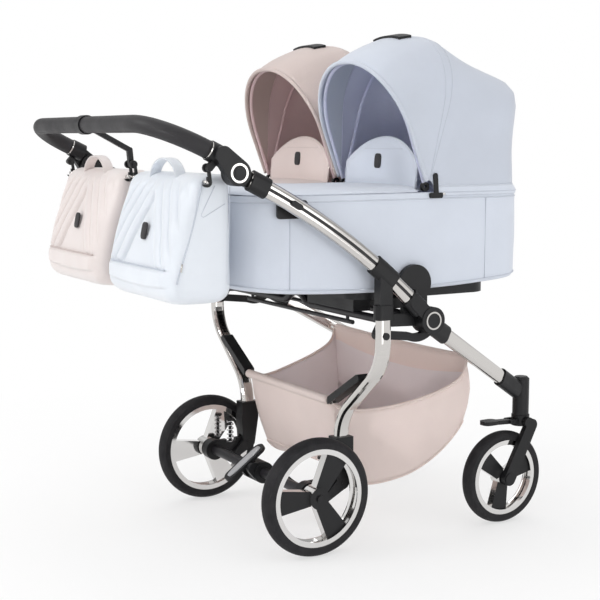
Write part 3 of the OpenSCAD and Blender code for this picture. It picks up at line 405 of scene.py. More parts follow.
def tube(name, points, radius, finish, sides=8, closed=False):
    """A round cord along points in metres, with flat ends where it isn't closed."""
    rings = []
    count = len(points)
    side_axis = None
    for i, p in enumerate(points):
        ahead = points[(i + 1) % count] if closed or i < count - 1 else p
        behind = points[i - 1] if closed or i > 0 else p
        along = (ahead - behind).normalized()
        if side_axis is None:
            side_axis = along.orthogonal()
        side_axis = (side_axis - along * side_axis.dot(along)).normalized()
        other = along.cross(side_axis)
        turns = [2 * pi * k / sides for k in range(sides)]
        rings.append([p + (side_axis * cos(a) + other * sin(a)) * radius / 1000 for a in turns])
    if closed:
        shift = max(range(sides), key=lambda k: -(rings[0][k] - rings[-1][0]).length)
        rings.append([rings[0][(k + shift) % sides] for k in range(sides)])
        points_out, faces, numbers = grid(rings, True)
        return piece(name, points_out, faces, [finish], numbers)
    return loft(name, rings, [finish])


def attach(made, body, replaced=()):
    """Let a piece ride on a body and stand for CAD nodes, which it hides."""
    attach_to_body(made, body)
    if replaced:
        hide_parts(*replaced)
    return made


def wrinkle(p, size, height):
    """A smooth wandering height in millimetres over points in metres."""
    return noise.noise(p * (1000 / size)) * height


def rising(value, start, run):
    """0 up to a start, then evenly up to 1 over a run."""
    return max(0, min(1, (value - start) / run))


def shares(steps):
    """Even shares from 0 to 1."""
    return [i / steps for i in range(steps + 1)]


def spread(half, steps):
    """Even values from minus a half width to plus it."""
    return [half * (2 * f - 1) for f in shares(steps)]


def even(points, count, closed=False):
    """Points at even distances along a polyline."""
    ring = points + [points[0]] if closed else points
    lengths = [0.0]
    for a, b in zip(ring, ring[1:]):
        lengths.append(lengths[-1] + (b - a).length)
    result = []
    k = 0
    for i in range(count):
        want = lengths[-1] * i / (count if closed else count - 1)
        while k < len(ring) - 2 and lengths[k + 1] < want:
            k += 1
        share = (want - lengths[k]) / max(lengths[k + 1] - lengths[k], 1e-9)
        result.append(ring[k].lerp(ring[k + 1], share))
    return result


# Carrycots; rings of their skin as (inset, height) above the floor, above the rim and, inside, above ground
PLAN_STEPS = 180
ARC_STEPS = 24
PLAN_CENTRE = Vector((154, 0))
FLOOR_SHARES = (0.05, 0.5, 0.85)
FLOOR_ROLL = ((12, 0), (4, 2), (0.6, 7), (0, 12))
WALL_STEPS = 12
WALL_BULGE = 1.5
WALL_RUFFLE = 1.6
RUFFLE_SIZE = 90
RIM_ROLL = ((0, -8), (1, -5), (0.4, -2), (3, 0), (8, 0), (11.5, -2), (13, -8))
LINED_RINGS = 4
INNER_WALL = ((13.5, 760), (13, 700), (14, 655), (20, 642))
INNER_SHARES = (0.8, 0.4, 0.05)
INNER_DROP = 0.5
TRIM_PROUD = 0.4
HEM_RISE = 9
EDGE_DROP = 14
COT_SEAMS = (("rear", -118), ("front", 392))
SEAM_PROUD = 1.2
SEAM_RISE = 10
SEAM_STEPS = 10


def cot_plan():
    """Plan of a carrycot round its middle line from the foot end, as points with outward directions."""
    corners = ((COT_BACK + FOOT_CORNER, FOOT_CORNER, pi), (COT_FRONT - HEAD_CORNER, HEAD_CORNER, pi / 2))
    side = []
    for x, r, start in corners:
        for k in range(ARC_STEPS + 1):
            a = start - pi / 2 * k / ARC_STEPS
            side.append(Vector((x + r * cos(a), COT_HALF - r + r * sin(a))))
    other = [Vector((p.x, -p.y)) for p in reversed(side)]
    ring = even([Vector((COT_BACK, 0))] + side + other, PLAN_STEPS, True)
    plan = []
    for i, p in enumerate(ring):
        along = ring[(i + 1) % PLAN_STEPS] - ring[i - 1]
        plan.append((p, Vector((-along.y, along.x)).normalized()))
    return plan


PLAN = cot_plan()


def underside(x):
    """Height of a carrycot's floor, which rises to both ends."""
    middle = (COT_BACK + COT_FRONT) / 2
    return COT_FLOOR + COT_RISE * ((x - middle) / (COT_FRONT - middle)) ** 2


def cot_ring(side, inset, height, ruffle=0.0):
    """One ring of a carrycot, drawn in by an inset; height gives z for a plan point."""
    ring = []
    for p, out in PLAN:
        q = p - out * inset
        spot = at(q.x, side * COT_MIDDLE + q.y, height(q))
        if ruffle:
            q = q + out * wrinkle(spot, RUFFLE_SIZE, ruffle)
            spot = at(q.x, side * COT_MIDDLE + q.y, height(q))
        ring.append(spot)
    return ring


def cot_disc(side, share, height):
    """One ring of a carrycot's floor, shrunk towards its middle."""
    return [at(q.x, side * COT_MIDDLE + q.y, height(q))
            for q in (PLAN_CENTRE + (p - PLAN_CENTRE) * share for p, out in PLAN)]


def build_cot(name, side, tint):
    rings = [cot_disc(side, share, lambda q: underside(q.x)) for share in FLOOR_SHARES]
    for inset, up in FLOOR_ROLL:
        rings.append(cot_ring(side, inset, lambda q: underside(q.x) + up))
    for i in range(1, WALL_STEPS):
        f = i / WALL_STEPS
        height = lambda q: (underside(q.x) + FLOOR_ROLL[-1][1]) * (1 - f) + (COT_RIM + RIM_ROLL[0][1]) * f
        rings.append(cot_ring(side, -WALL_BULGE * sin(pi * f), height, WALL_RUFFLE * sin(pi * f)))
    for inset, up in RIM_ROLL:
        rings.append(cot_ring(side, inset, lambda q: COT_RIM + up))
    outer = len(rings) - LINED_RINGS
    for inset, z in INNER_WALL:
        rings.append(cot_ring(side, inset, lambda q: z))
    for share in INNER_SHARES:
        rings.append(cot_disc(side, share, lambda q: COT_INSIDE - INNER_DROP))
    marks = [0 if i < outer else 1 for i in range(len(rings) - 1)]
    body = "carrycot_" + name
    made = loft("cot_" + name, rings, [cover[tint], lining[tint]], marks)
    attach(made, body, ["cot_shell_" + name])
    hem_line = cot_ring(side, -TRIM_PROUD, lambda q: underside(q.x) + HEM_RISE)
    attach(tube("cot_hem_" + name, hem_line, 1.6, welt_shaded[tint], closed=True), body)
    edge_line = cot_ring(side, -TRIM_PROUD, lambda q: COT_RIM - EDGE_DROP)
    attach(tube("cot_edge_" + name, edge_line, 1.5, welt_shaded[tint], closed=True), body)
    for label, x in COT_SEAMS:
        low = underside(x) + SEAM_RISE
        rise = COT_RIM - EDGE_DROP - low
        for hand in (1, -1):
            y = side * COT_MIDDLE + hand * (COT_HALF + SEAM_PROUD)
            line = [at(x, y, low + rise * f) for f in shares(SEAM_STEPS)]
            which = "out" if hand * side > 0 else "in"
            attach(tube("cot_seam_%s_%s_%s" % (label, name, which), line, STITCH, welt_shaded[tint]), body)


# Aprons with their raised wind flap
APRON_IN = 0.6
APRON_START = 0.8
APRON_ALONG = 64
APRON_ACROSS = 40
APRON_LEAST = 8
APRON_GAP = 2
APRON_RISE = 9
APRON_CROWN = 4
APRON_ROLL = 14
APRON_FOOT = 6
APRON_NARROWING = (206, 8)
APRON_CREASE = (60, 1.2)
FLAP_BASE = (228, 816)
FLAP_LEAN = radians(5)
FLAP_HALF = 146
FLAP_ARC = 210
FLAP_DROP = 92
FLAP_BOW = 10
FLAP_UP = 30
FLAP_ACROSS = 60
FLAP_MIDDLE = 4.5
FLAP_SWELL = 4.6
FLAP_ROUND = 4
FLAP_LEAST = 0.2
FLAP_GROOVE = (10, 1.6, 1.3)
FLAP_PIPING_IN = 1
FLAP_STITCH = (78, 90)
FLAP_PATCH = (20, 62, -1.2)
TONGUE_HALF = 149


def apron_half(x):
    """Half width of the apron at a place along the carrycot."""
    corner = COT_BACK + FOOT_CORNER
    if x >= corner:
        narrowing = rising(x, *APRON_NARROWING)
        return (COT_HALF - APRON_IN) * (1 - narrowing) + TONGUE_HALF * narrowing
    r = FOOT_CORNER - APRON_IN
    return COT_HALF - FOOT_CORNER + sqrt(max(r * r - (corner - x) ** 2, 0))


def apron_row(x, side):
    """Points across the apron, rolled down at its sides and at the foot end."""
    half = max(apron_half(x), APRON_LEAST)
    inland = 1 - exp(-(x - COT_BACK) / APRON_FOOT)
    row = []
    for turn in spread(pi / 2, APRON_ACROSS):
        v = sin(turn)
        rise = APRON_RISE * (1 - abs(v) ** APRON_ROLL) + APRON_CROWN * (1 - v * v)
        spot = at(x, side * COT_MIDDLE + v * half, COT_RIM + APRON_GAP + rise * inland)
        row.append(spot + Vector((0, 0, wrinkle(spot, *APRON_CREASE) / 1000)))
    return row


def flap_top(across):
    """Height of the wind flap's round top edge."""
    return sqrt(FLAP_ARC ** 2 - across ** 2) - FLAP_DROP


def on_flap(side, across, up, depth):
    """A point on the wind flap: across the pram, up its slope and ahead of its rear face."""
    depth = depth - FLAP_BOW * (across / FLAP_HALF) ** 2
    return at(FLAP_BASE[0] + depth * cos(FLAP_LEAN) + up * sin(FLAP_LEAN), side * COT_MIDDLE + across,
              FLAP_BASE[1] - depth * sin(FLAP_LEAN) + up * cos(FLAP_LEAN))


def flap_swell(edge):
    """Half thickness of the flap at a distance from its edge, with a stitched groove along it."""
    away, width, deep = FLAP_GROOVE
    groove = deep * exp(-((edge - away) / width) ** 2)
    return FLAP_SWELL * (1 - exp(-edge / FLAP_ROUND)) - groove + FLAP_LEAST


def build_flap(name, side, tint):
    body = "carrycot_" + name
    rings = []
    for f in shares(FLAP_UP):
        rear_row = []
        front_row = []
        for across in spread(FLAP_HALF, FLAP_ACROSS):
            up = flap_top(across) * f
            swell = flap_swell(min(FLAP_HALF - abs(across), flap_top(across) - up))
            rear_row.append(on_flap(side, across, up, FLAP_MIDDLE - swell))
            front_row.append(on_flap(side, across, up, FLAP_MIDDLE + swell))
        rings.append(rear_row + list(reversed(front_row)))
    flap = loft("flap_" + name, rings, [cover[tint]])
    attach(flap, body)
    half = FLAP_HALF - FLAP_PIPING_IN
    foot = flap_top(FLAP_HALF) * 0.05
    rim = [on_flap(side, half, foot, FLAP_MIDDLE)]
    for across in reversed(spread(half, FLAP_ACROSS)):
        rim.append(on_flap(side, across, flap_top(across) - FLAP_PIPING_IN, FLAP_MIDDLE))
    rim.append(on_flap(side, -half, foot, FLAP_MIDDLE))
    attach(tube("flap_edge_" + name, rim, PIPING, welt_shaded[tint]), body)
    stitch = [on_flap(side, across, FLAP_STITCH[1], 0.1) for across in spread(FLAP_STITCH[0], 40)]
    attach(tube("flap_stitch_" + name, stitch, 0.8, welt_shaded[tint], 6), body)
    slope = Vector((sin(FLAP_LEAN), 0, cos(FLAP_LEAN)))
    patch = plain_patch("flap_patch_" + name, on_flap(side, *FLAP_PATCH), Vector((0, -1, 0)), slope,
                        width=26, height=34, finish=leatherette)
    attach(patch, body)


def build_apron(name, side, tint):
    start = COT_BACK + APRON_START
    rows = [apron_row(start + (APRON_END - start) * f ** 1.5, side) for f in shares(APRON_ALONG)]
    below = at(0, side * COT_MIDDLE, COT_FLOOR)
    made = thicken(loft("apron_" + name, rows, [cover[tint]], wrap=False, inside=below), thickness=2.2)
    attach(made, "carrycot_" + name, ["cot_apron_" + name])
    build_flap(name, side, tint)


# Small padded patches, as shares of their size with a rise
PATCH_LAYERS = ((1.0, -0.8), (1.0, 1.0), (0.92, 1.8), (0.5, 2.2), (0.05, 2.3))
PATCH_SIDES = 32


def squared(value):
    """Push a sine or cosine outwards, which turns a circle into a square with round corners."""
    return abs(value) ** 0.5 * (1 if value > 0 else -1)


def plain_patch(name, centre, right, up, width, height, finish):
    """A small padded patch with round corners, bare of any sign."""
    out = right.cross(up).normalized()
    rows = []
    for share, rise in PATCH_LAYERS:
        ring = []
        for k in range(PATCH_SIDES):
            a = 2 * pi * k / PATCH_SIDES
            x = squared(cos(a)) * width / 2 * share
            y = squared(sin(a)) * height / 2 * share
            ring.append(centre + (right * x + up * y + out * rise) / 1000)
        rows.append(ring)
    return loft(name, rows, [finish])


# Hoods, in degrees of lean from upright and in millimetres of reach from their hinge
VISOR_DROP = 86
VISOR_CURVE = 1.4
KNUCKLE_ROUND = 4
KNUCKLE_WIDTH = 9
HOOP_GAP = 6
HOOPS = ((VISOR_LEAN, HOOP_LEAN, 0.4), (HOOP_LEAN, HOOD_KNUCKLE[0], 7), (HOOD_KNUCKLE[0], HOOD_END, 4))
HANDLE_LIFT = 3.5
HANDLE_LEAN = (4, 7)
HANDLE_SHARE = 0.1
BACK_MARGIN = 6
HOOD_HEART = (60, 120)
HOOD_ALONG = 60
HOOD_ACROSS = 72
HOOD_CREASE = 110
HOOD_RUFFLE = 1.8
LOOSE = 2
TRIM_STEPS = 90
SEAM_LEAN = 2.2


def line_reach(lean, start, end):
    """Reach at a lean of the straight line between two points, each as (lean, reach)."""
    a, b, c = radians(lean), radians(start[0]), radians(end[0])
    return start[1] * end[1] * sin(c - b) / (start[1] * sin(a - b) + end[1] * sin(c - a))


def frame_reach(lean):
    """Reach of the hood's frame from its hinge: a curve to the main hoop, then two straight lines."""
    if lean <= HOOP_LEAN:
        share = (HOOD_PEAK - lean) / (HOOD_PEAK - VISOR_LEAN)
        return HOOD_REACH - VISOR_DROP * share ** VISOR_CURVE
    if lean <= HOOD_KNUCKLE[0]:
        return line_reach(lean, (HOOP_LEAN, frame_reach(HOOP_LEAN)), HOOD_KNUCKLE)
    return line_reach(lean, HOOD_KNUCKLE, (HOOD_END, HOOD_BACK))


def hood_reach(lean):
    """Reach of the cloth, which rounds the frame's knuckle off."""
    near = KNUCKLE_ROUND * exp(-((lean - HOOD_KNUCKLE[0]) / KNUCKLE_WIDTH) ** 2)
    return (frame_reach(lean - near) + 2 * frame_reach(lean) + frame_reach(lean + near)) / 4


def slack(lean):
    """How far the cloth hangs in between two hoops, in millimetres."""
    return sum(deep * sin(pi * (lean - a) / (b - a)) ** 2 for a, b, deep in HOOPS if a <= lean <= b)


def hood_corner(lean):
    """Corner radius of the hood's section, smaller towards the back."""
    share = max(0, lean - HOOP_LEAN) / (HOOD_END - HOOP_LEAN)
    return (HOOD_HALF - HOOP_GAP) * (1 - share) + HOOD_BACK_CORNER * share


def on_hood(side, lean, t, out=0.0):
    """A point on the hood's cloth at a lean; t runs from its left hinge over the top to its right one."""
    half = HOOD_HALF + out
    corner = hood_corner(lean) + out
    reach = hood_reach(lean) - slack(lean) + out
    straight = reach - corner
    leg = straight - HOOD_HOLE
    arc = pi / 2 * corner
    way = (1 - abs(2 * t - 1)) * (leg + arc + half - corner)
    if way < leg:
        across, up = half, HOOD_HOLE + way
    elif way < leg + arc:
        turn = (way - leg) / corner
        across, up = half - corner + corner * cos(turn), straight + corner * sin(turn)
    else:
        across, up = half - corner - (way - leg - arc), reach
    if t > 0.5:
        across = -across
    a = radians(lean)
    return at(HOOD_HINGE[0] + up * sin(a), side * COT_MIDDLE + across, HOOD_HINGE[1] + up * cos(a))


def lift(lean, t):
    """How far the cloth rises to the carry handle sewn on top of it, in millimetres."""
    along = (lean - HANDLE_LEAN[0]) / HANDLE_LEAN[1]
    across = (t - 0.5) / HANDLE_SHARE
    return HANDLE_LIFT * exp(-along ** 2) * exp(-across ** 2)


def bend_with_hood(made, side):
    """Bake a piece's placement into its mesh; the hood's back and front points are worked out but not used.
    """
    back = on_hood(side, HOOD_END - BACK_MARGIN, 0.5)
    front = on_hood(side, HOOP_LEAN, 0.5)
    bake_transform(made)


def hood_line(side, lean, out, free=0.0):
    """Points over the hood at one lean, this far outside its cloth, with a share left free at both ends."""
    return [on_hood(side, lean, free + (1 - 2 * free) * f, out) for f in shares(TRIM_STEPS)]


def build_hood(name, side, tint):
    heart = at(HOOD_HINGE[0] + HOOD_HEART[0], side * COT_MIDDLE, HOOD_HINGE[1] + HOOD_HEART[1])
    rows = []
    marks = []
    for f in shares(HOOD_ALONG):
        lean = VISOR_LEAN + (HOOD_END - VISOR_LEAN) * f
        ruffle = HOOD_RUFFLE * min(1, slack(lean) / LOOSE)
        marks.append(2 if lean < LINING_LEAN else 0)
        row = []
        for t in shares(HOOD_ACROSS):
            spot = on_hood(side, lean, t, lift(lean, t))
            away = (spot - heart).normalized()
            row.append(spot + away * wrinkle(spot, HOOD_CREASE, ruffle) / 1000)
        rows.append(row)
    finishes = [canopy[tint], lining[tint], canopy[tint], canopy[tint]]
    skin = thicken(loft("canopy_" + name, rows, finishes, marks, False, heart), thickness=2.4, second=1)
    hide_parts("hood_canopy_" + name)
    bend_with_hood(skin, side)
    trims = [
        tube("visor_edge_" + name, hood_line(side, VISOR_LEAN, -1.2), 5, canopy[tint], 12),
        tube("lining_seam_" + name, hood_line(side, LINING_LEAN, -3.2, 0.02), 1.3, lining[tint], 6),
        tube("back_edge_" + name, hood_line(side, HOOD_END, -1), PIPING, welt_shaded[tint]),
    ]
    for label, lean in (("front", HOOP_LEAN - SEAM_LEAN), ("rear", HOOP_LEAN + SEAM_LEAN)):
        seam = hood_line(side, lean, 0.1)
        trims.append(tube("hood_seam_%s_%s" % (label, name), seam, STITCH, welt_shaded[tint], 6))
    for trim in trims:
        bend_with_hood(trim, side)
    build_skirt(name, side, tint)


# Skirts under the hoods: roll as (height, off the carrycot), rise as (share of the way to the hood, height)
SKIRT_STEPS = 120
SKIRT_PROUD = 0.8
SKIRT_ROLL = ((805, 0.2), (804, 1.4), (806, 2.6), (814, 2.4))
SKIRT_RISE = ((0.5, 820), (0.9, 824), (1.0, 827))
SKIRT_HEART = (100, 815)
ZIP_SPOT = (811, 3.1)
SNAP_SPOT = (809, 2.6)
SNAP_SIZE = 7
SNAP_STEP = 4


def near_rim(p):
    """Nearest place on a carrycot's plan to a point, and the outward direction there."""
    nearest = None
    for (a, out_a), (b, out_b) in zip(PLAN, PLAN[1:] + PLAN[:1]):
        run = b - a
        share = rising((p - a).dot(run), 0, run.dot(run))
        spot = a.lerp(b, share)
        if nearest is None or (p - spot).length < (p - nearest[0]).length:
            nearest = (spot, out_a.lerp(out_b, share))
    return nearest


def build_skirt(name, side, tint):
    """Band at the foot of the hood's back over the carrycot's rim, with its zip line and two snaps."""
    body = "carrycot_" + name
    edge = [on_hood(side, HOOD_END, t, SKIRT_PROUD) for t in shares(SKIRT_STEPS)]
    rim = [near_rim(Vector((p.x * 1000 - AXLE_X, p.y * 1000 - side * COT_MIDDLE))) for p in edge]

    def beside(foot, z, off):
        """A point at a height, this far off a place on the carrycot's plan."""
        q, out = foot
        return at(q.x + out.x * off, side * COT_MIDDLE + q.y + out.y * off, z)

    rows = [[beside(foot, z, off) for foot in rim] for z, off in SKIRT_ROLL]
    top_off = SKIRT_ROLL[-1][1]
    for share, z in SKIRT_RISE:
        goals = [Vector((p.x, p.y, z / 1000)) for p in edge]
        rows.append([beside(foot, z, top_off).lerp(goal, share) for foot, goal in zip(rim, goals)])
    heart = at(HOOD_HINGE[0] + SKIRT_HEART[0], side * COT_MIDDLE, SKIRT_HEART[1])
    band = thicken(loft("skirt_" + name, rows, [cover[tint]], wrap=False, inside=heart), thickness=1.2)
    attach(band, body)
    zip_line = tube("skirt_zip_" + name, [beside(foot, *ZIP_SPOT) for foot in rim], STITCH, welt_shaded[tint], 6)
    attach(zip_line, body)
    for label, k, facing in (("a", SNAP_STEP, -side), ("b", SKIRT_STEPS - SNAP_STEP, side)):
        snap = plain_patch("snap_%s_%s" % (label, name), beside(rim[k], *SNAP_SPOT), Vector((facing, 0, 0)),
                           Vector((0, 0, 1)), SNAP_SIZE, SNAP_SIZE, bright_rim)
        attach(snap, body)


# Mattresses; sides as (further inset, height)
BED_INSET = 34
BED_LOW = 641
BED_SIDES = ((12, BED_LOW), (3, 644), (0, 650), (-1, 658), (0, 666), (4, 671))
BED_SHARES = (0.82, 0.74, 0.64, 0.54, 0.44, 0.34, 0.24, 0.14, 0.05)
BED_NARROW = 0.93
BED_TOP = 675
BED_CROWN = 3
TUFT_DEPTH = 2.2
BED_PIPING = (-1, 667)


def bed_height(share):
    """Top of a mattress at a share of the way from its middle to its edge, with stitched dips."""
    return BED_TOP - BED_CROWN * share ** 4 - TUFT_DEPTH * abs(sin(7 * share)) ** 8


def build_mattress(name, side):
    rings = [cot_disc(side, BED_SHARES[-1], lambda q: BED_LOW)]
    for further, z in BED_SIDES:
        rings.append(cot_ring(side, BED_INSET + further, lambda q: z))
    for share in BED_SHARES:
        rings.append(cot_disc(side, share * BED_NARROW, lambda q: bed_height(share)))
    made = loft("mattress_pad_" + name, rings, [bed_cloth])
    attach(made, "carrycot_" + name, ["mattress_" + name])
    line = cot_ring(side, BED_INSET + BED_PIPING[0], lambda q: BED_PIPING[1])
    attach(tube("mattress_piping_" + name, line, 1.5, bed_cloth, closed=True), "carrycot_" + name)


# Bags
BAG_IN = 22
BAG_OUT = 370
BAG_MIDDLE = (BAG_IN + BAG_OUT) / 2
BAG_FRONT = -250
BAG_REAR = -388
BAG_LOW = 597
BAG_TOP = 858
BAG_LEAN = 62
LEAN_START = 0.2
LEAN_CURVE = 1.3
BAG_CORNER = 30
FRONT_SHRINK = 0.6
LOW_ROUND = 34
TOP_ROUND = 22
TOP_SHRINK = 20
BAG_AROUND = 380
BAG_LEVELS = 110
BAG_CREASE = (55, 1.8)
BAG_CAP = ((0.7, 1), (0.3, 1.5), (0.05, 1.5))
CAP_CENTRE = -300
BELLY = 1.2
BELLY_HIGH = 230
BELLY_SIDE = (150, 20)

# The bags' relief: the rear face with its pocket and lid, and the quilting beside a plain triangle
FACE_DEEP = 26
FACE_FADE = 22
FACE_HALF = 156
FACE_SIDE_FADE = 24
BAG_POCKET = 668
POCKET_OUT = 2
POCKET_EDGE = 5
POCKET_FOOT = (10, 20)
LID_LOW = 628
LID_BOW = 6
LID_WIDE = 150
LID_EDGE = 3
LID_OUT = 7
QUILT_PEAK = 812
QUILT_SLOPE = 0.6
QUILT_TURN = 0.86
QUILT_STEP = 33
QUILT_HIGH = 13
QUILT_SHARP = 0.42
QUILT_BASE = 6
QUILT_FADE = 10
QUILT_END = (12, 20)
TRIANGLE_HIGH = 7
TRIANGLE_ROUND = 6

# The bags' trims
LID_HALF = 142
ZIP_TOP = 14
ZIP_SHORT = 60
PULL_STEP = 24
# The fold line follows the gusset's crease; its darker cord partly paints the crease's shade
BAG_SEAMS = (("fold", ((0.5, 836), (0.3, 778), (0.36, 774), (0.8, 800))), ("front", ((0.9, 834), (0.9, 636))))
LOOP_SPOT = (-315, 842)
LOOP_HALF = 66
LOOP_HIGH = 46
LOOP_SECTION = ((-12, -1.6), (-9, -2), (9, -2), (12, -1.6), (12, 1.6), (9, 2), (-9, 2), (-12, 1.6))
PEG_SPOT = (-315.155, 844.28)
PEGS = (("in", 17), ("out", 377))
PEG_HALF = 9
BAG_PATCH = (-10, 740)


def bag_rear(z):
    """Rear face of a bag: upright near the bottom, leaning forward to the top."""
    f = (z - BAG_LOW) / (BAG_TOP - BAG_LOW)
    return BAG_REAR + BAG_LEAN * (max(f - LEAN_START, 0) / (1 - LEAN_START)) ** LEAN_CURVE


def bag_shrink(z):
    """How far a bag's section draws in near its bottom and its top."""
    low = max(0, 1 - (z - BAG_LOW) / LOW_ROUND)
    top = max(0, 1 - (BAG_TOP - z) / TOP_ROUND)
    return LOW_ROUND * (1 - sqrt(1 - low ** 2)) + TOP_SHRINK * (1 - sqrt(1 - top ** 2))


def bag_outline(z):
    """Even points round a bag at a height, from the middle of its rear face."""
    shrink = bag_shrink(z)
    rear = bag_rear(z) + shrink
    front = BAG_FRONT - shrink * FRONT_SHRINK
    half = (BAG_OUT - BAG_IN) / 2 - shrink
    r = min(BAG_CORNER, (front - rear) / 2 - 2)
    corners = ((rear + r, half - r), (front - r, half - r), (front - r, r - half), (rear + r, r - half))
    path = [Vector((rear, 0))]
    for quarter, (cx, cy) in enumerate(corners):
        for k in range(13):
            a = pi - pi / 2 * quarter - pi / 2 * k / 12
            path.append(Vector((cx + r * cos(a), cy + r * sin(a))))
    return even(path, BAG_AROUND, True)


def quilting(y, z):
    """Height of the padded channels beside the plain triangle in the middle of the rear face."""
    away = (abs(y) - (QUILT_PEAK - z) * QUILT_SLOPE) * QUILT_TURN
    if away < 0:
        return TRIANGLE_HIGH * (1 - exp(away / TRIANGLE_ROUND)) - QUILT_BASE
    return QUILT_HIGH * abs(sin(pi * away / QUILT_STEP)) ** QUILT_SHARP - QUILT_BASE


def bag_relief(x, y, z):
    """How far a bag's rear face stands out: quilting above, a pocket with a lid below."""
    facing = rising(bag_rear(z) + FACE_DEEP, x, FACE_FADE) * rising(FACE_HALF, abs(y), FACE_SIDE_FADE)
    quilted = rising(z, BAG_POCKET, QUILT_FADE) * rising(BAG_TOP - z, *QUILT_END)
    pocket = rising(BAG_POCKET, z, POCKET_EDGE) * rising(z - BAG_LOW, *POCKET_FOOT)
    lid = rising(z, LID_LOW + LID_BOW * (y / LID_WIDE) ** 2, LID_EDGE)
    return facing * (quilted * quilting(y, z) + pocket * (POCKET_OUT + LID_OUT * lid))


def bag_ring(side, z):
    """One ring of a bag's cloth with its relief, its bellied sides and its creases."""
    belly = BELLY * sin(pi * rising(z, BAG_LOW, BELLY_HIGH))
    ring = []
    for p in bag_outline(z):
        out = belly * rising(abs(p.y), *BELLY_SIDE)
        y = p.y + (out if p.y > 0 else -out)
        spot = at(p.x - bag_relief(p.x, p.y, z), side * BAG_MIDDLE + y * side, z)
        ring.append(spot - Vector((wrinkle(spot, *BAG_CREASE) / 1000, 0, 0)))
    return ring if side > 0 else list(reversed(ring))


def build_bag(name, side, tint):
    body = "bag_" + name
    rings = [bag_ring(side, BAG_LOW + (BAG_TOP - BAG_LOW) * f) for f in shares(BAG_LEVELS)]
    top = rings[-1][0].z
    centre = at(CAP_CENTRE, side * BAG_MIDDLE, BAG_TOP)
    for share, rise in BAG_CAP:
        shrunk = [centre.lerp(p, share) for p in rings[-1]]
        rings.append([Vector((p.x, p.y, top + rise / 1000)) for p in shrunk])
    made = loft("bag_cloth_" + name, rings, [satin[tint]])
    attach(made, body, ["bag_" + name])
    trim_bag(name, side, tint, body)


def trim_bag(name, side, tint, body):
    """Lid piping, zip with its pull, side seams, hanging loop, pegs for the clips and a bare patch."""
    middle = side * BAG_MIDDLE
    lid_x = bag_rear(BAG_POCKET) - 3.2
    lid_line = [at(lid_x, middle + y, BAG_POCKET + 1) for y in spread(LID_HALF, 40)]
    attach(tube("bag_flap_" + name, lid_line, 1.4, welt_shaded[tint]), body)
    zip_line = []
    for f in shares(30):
        z = BAG_TOP - ZIP_TOP - (BAG_TOP - BAG_LOW - ZIP_SHORT) * f
        zip_line.append(at(bag_rear(z) + 12 + 10 * sin(pi * f), side * (BAG_OUT - 1), z))
    attach(tube("bag_zip_" + name, zip_line, 2, welt_shaded[tint]), body)
    slider = zip_line[PULL_STEP]
    pull_line = [slider + Vector((-0.001, 0.002 * side, 0)), slider + Vector((-0.004, 0.003 * side, -0.016))]
    attach(tube("bag_pull_" + name, pull_line, 2.2, chrome), body)
    for label, stops in BAG_SEAMS:
        bends = []
        for share, z in stops:
            rear = bag_rear(z)
            bends.append(Vector((rear + (BAG_FRONT - rear) * share, BAG_OUT + 0.6, z)))
        seam = [at(p.x, side * p.y, p.z) for p in even(bends, 24)]
        attach(tube("bag_seam_%s_%s" % (label, name), seam, STITCH, welt_shaded[tint]), body)
    loop_rows = []
    for f in shares(24):
        a = pi * f
        loop_rows.append([at(LOOP_SPOT[0] + dx, middle + (LOOP_HALF + out) * cos(a),
                             LOOP_SPOT[1] + (LOOP_HIGH + out) * sin(a)) for dx, out in LOOP_SECTION])
    attach(loft("bag_loop_" + name, loop_rows, [satin[tint]]), body)
    for label, y in PEGS:
        ends = [at(PEG_SPOT[0], side * (y + off), PEG_SPOT[1]) for off in (-PEG_HALF, PEG_HALF)]
        attach(tube("bag_peg_%s_%s" % (label, name), ends, 4, chrome, 12), body)
    across, z = BAG_PATCH
    patch = plain_patch("bag_patch_" + name, at(bag_rear(z) - 7, middle + across, z), Vector((0, -1, 0)),
                        Vector((0.2, 0, 1)).normalized(), width=26, height=36, finish=leatherette)
    attach(patch, body)


# Basket
BAR = (82, 330)
BASKET_RIM = ((82, 195, 331), (104, 202, 324), (150, 209, 322), (265, 240, 344),
              (345, 268, 364), (389, 288, 382), (399, 295, 404), (402, 296, 424))
BASKET_FLOOR = ((124, 186, 160), (152, 188, 131), (205, 189, 115), (300, 203, 130),
                (362, 228, 172), (393, 258, 222), (404, 280, 260), (406, 287, 272))
RIM_FRONT = (4, 6)
FLOOR_FRONT = (0, 96)
RIGHT_SAG = 30
BAND_ROWS = 4
SIDE_STEPS = 40
FRONT_STEPS = 50
REAR_STEPS = 30
CORNER_ROUNDS = 3
BASKET_ROWS = 16
BASKET_HEART = (250, 0, 260)
SIDE_SWELL = 9
REAR_SWELL = 3
REAR_LIMIT = 90
BASKET_CREASES = ((80, 6), (30, 2.2))
BASKET_CENTRE = (255, 0, 128)
BASKET_SHARES = (0.92, 0.75, 0.55, 0.35, 0.15, 0.03)
BASKET_DIP = 4
ROLL_HALF = 195
ROLL_HIGH = 332
LEG_SPOT = (398, 328, 424)
LEG_RUN = (-0.833, 0.219, 0.505)
LEG_HALF = 11.3
TONGUE_WIDE = 22
TONGUE_THIN = 1.2
TONGUE_IN = (6, 8)


def spline(stops, count):
    """A smooth line through stops, as even points in millimetres."""
    stops = [Vector(s) for s in stops]
    line = []
    for i in range(len(stops) - 1):
        a = stops[max(i - 1, 0)]
        b = stops[i]
        c = stops[i + 1]
        d = stops[min(i + 2, len(stops) - 1)]
        for k in range(12):
            t = k / 12
            line.append((b * 2 + (c - a) * t + (a * 2 - b * 5 + c * 4 - d) * t * t
                         + (b * 3 - a - c * 3 + d) * t ** 3) / 2)
    return even(line + [stops[-1]], count)


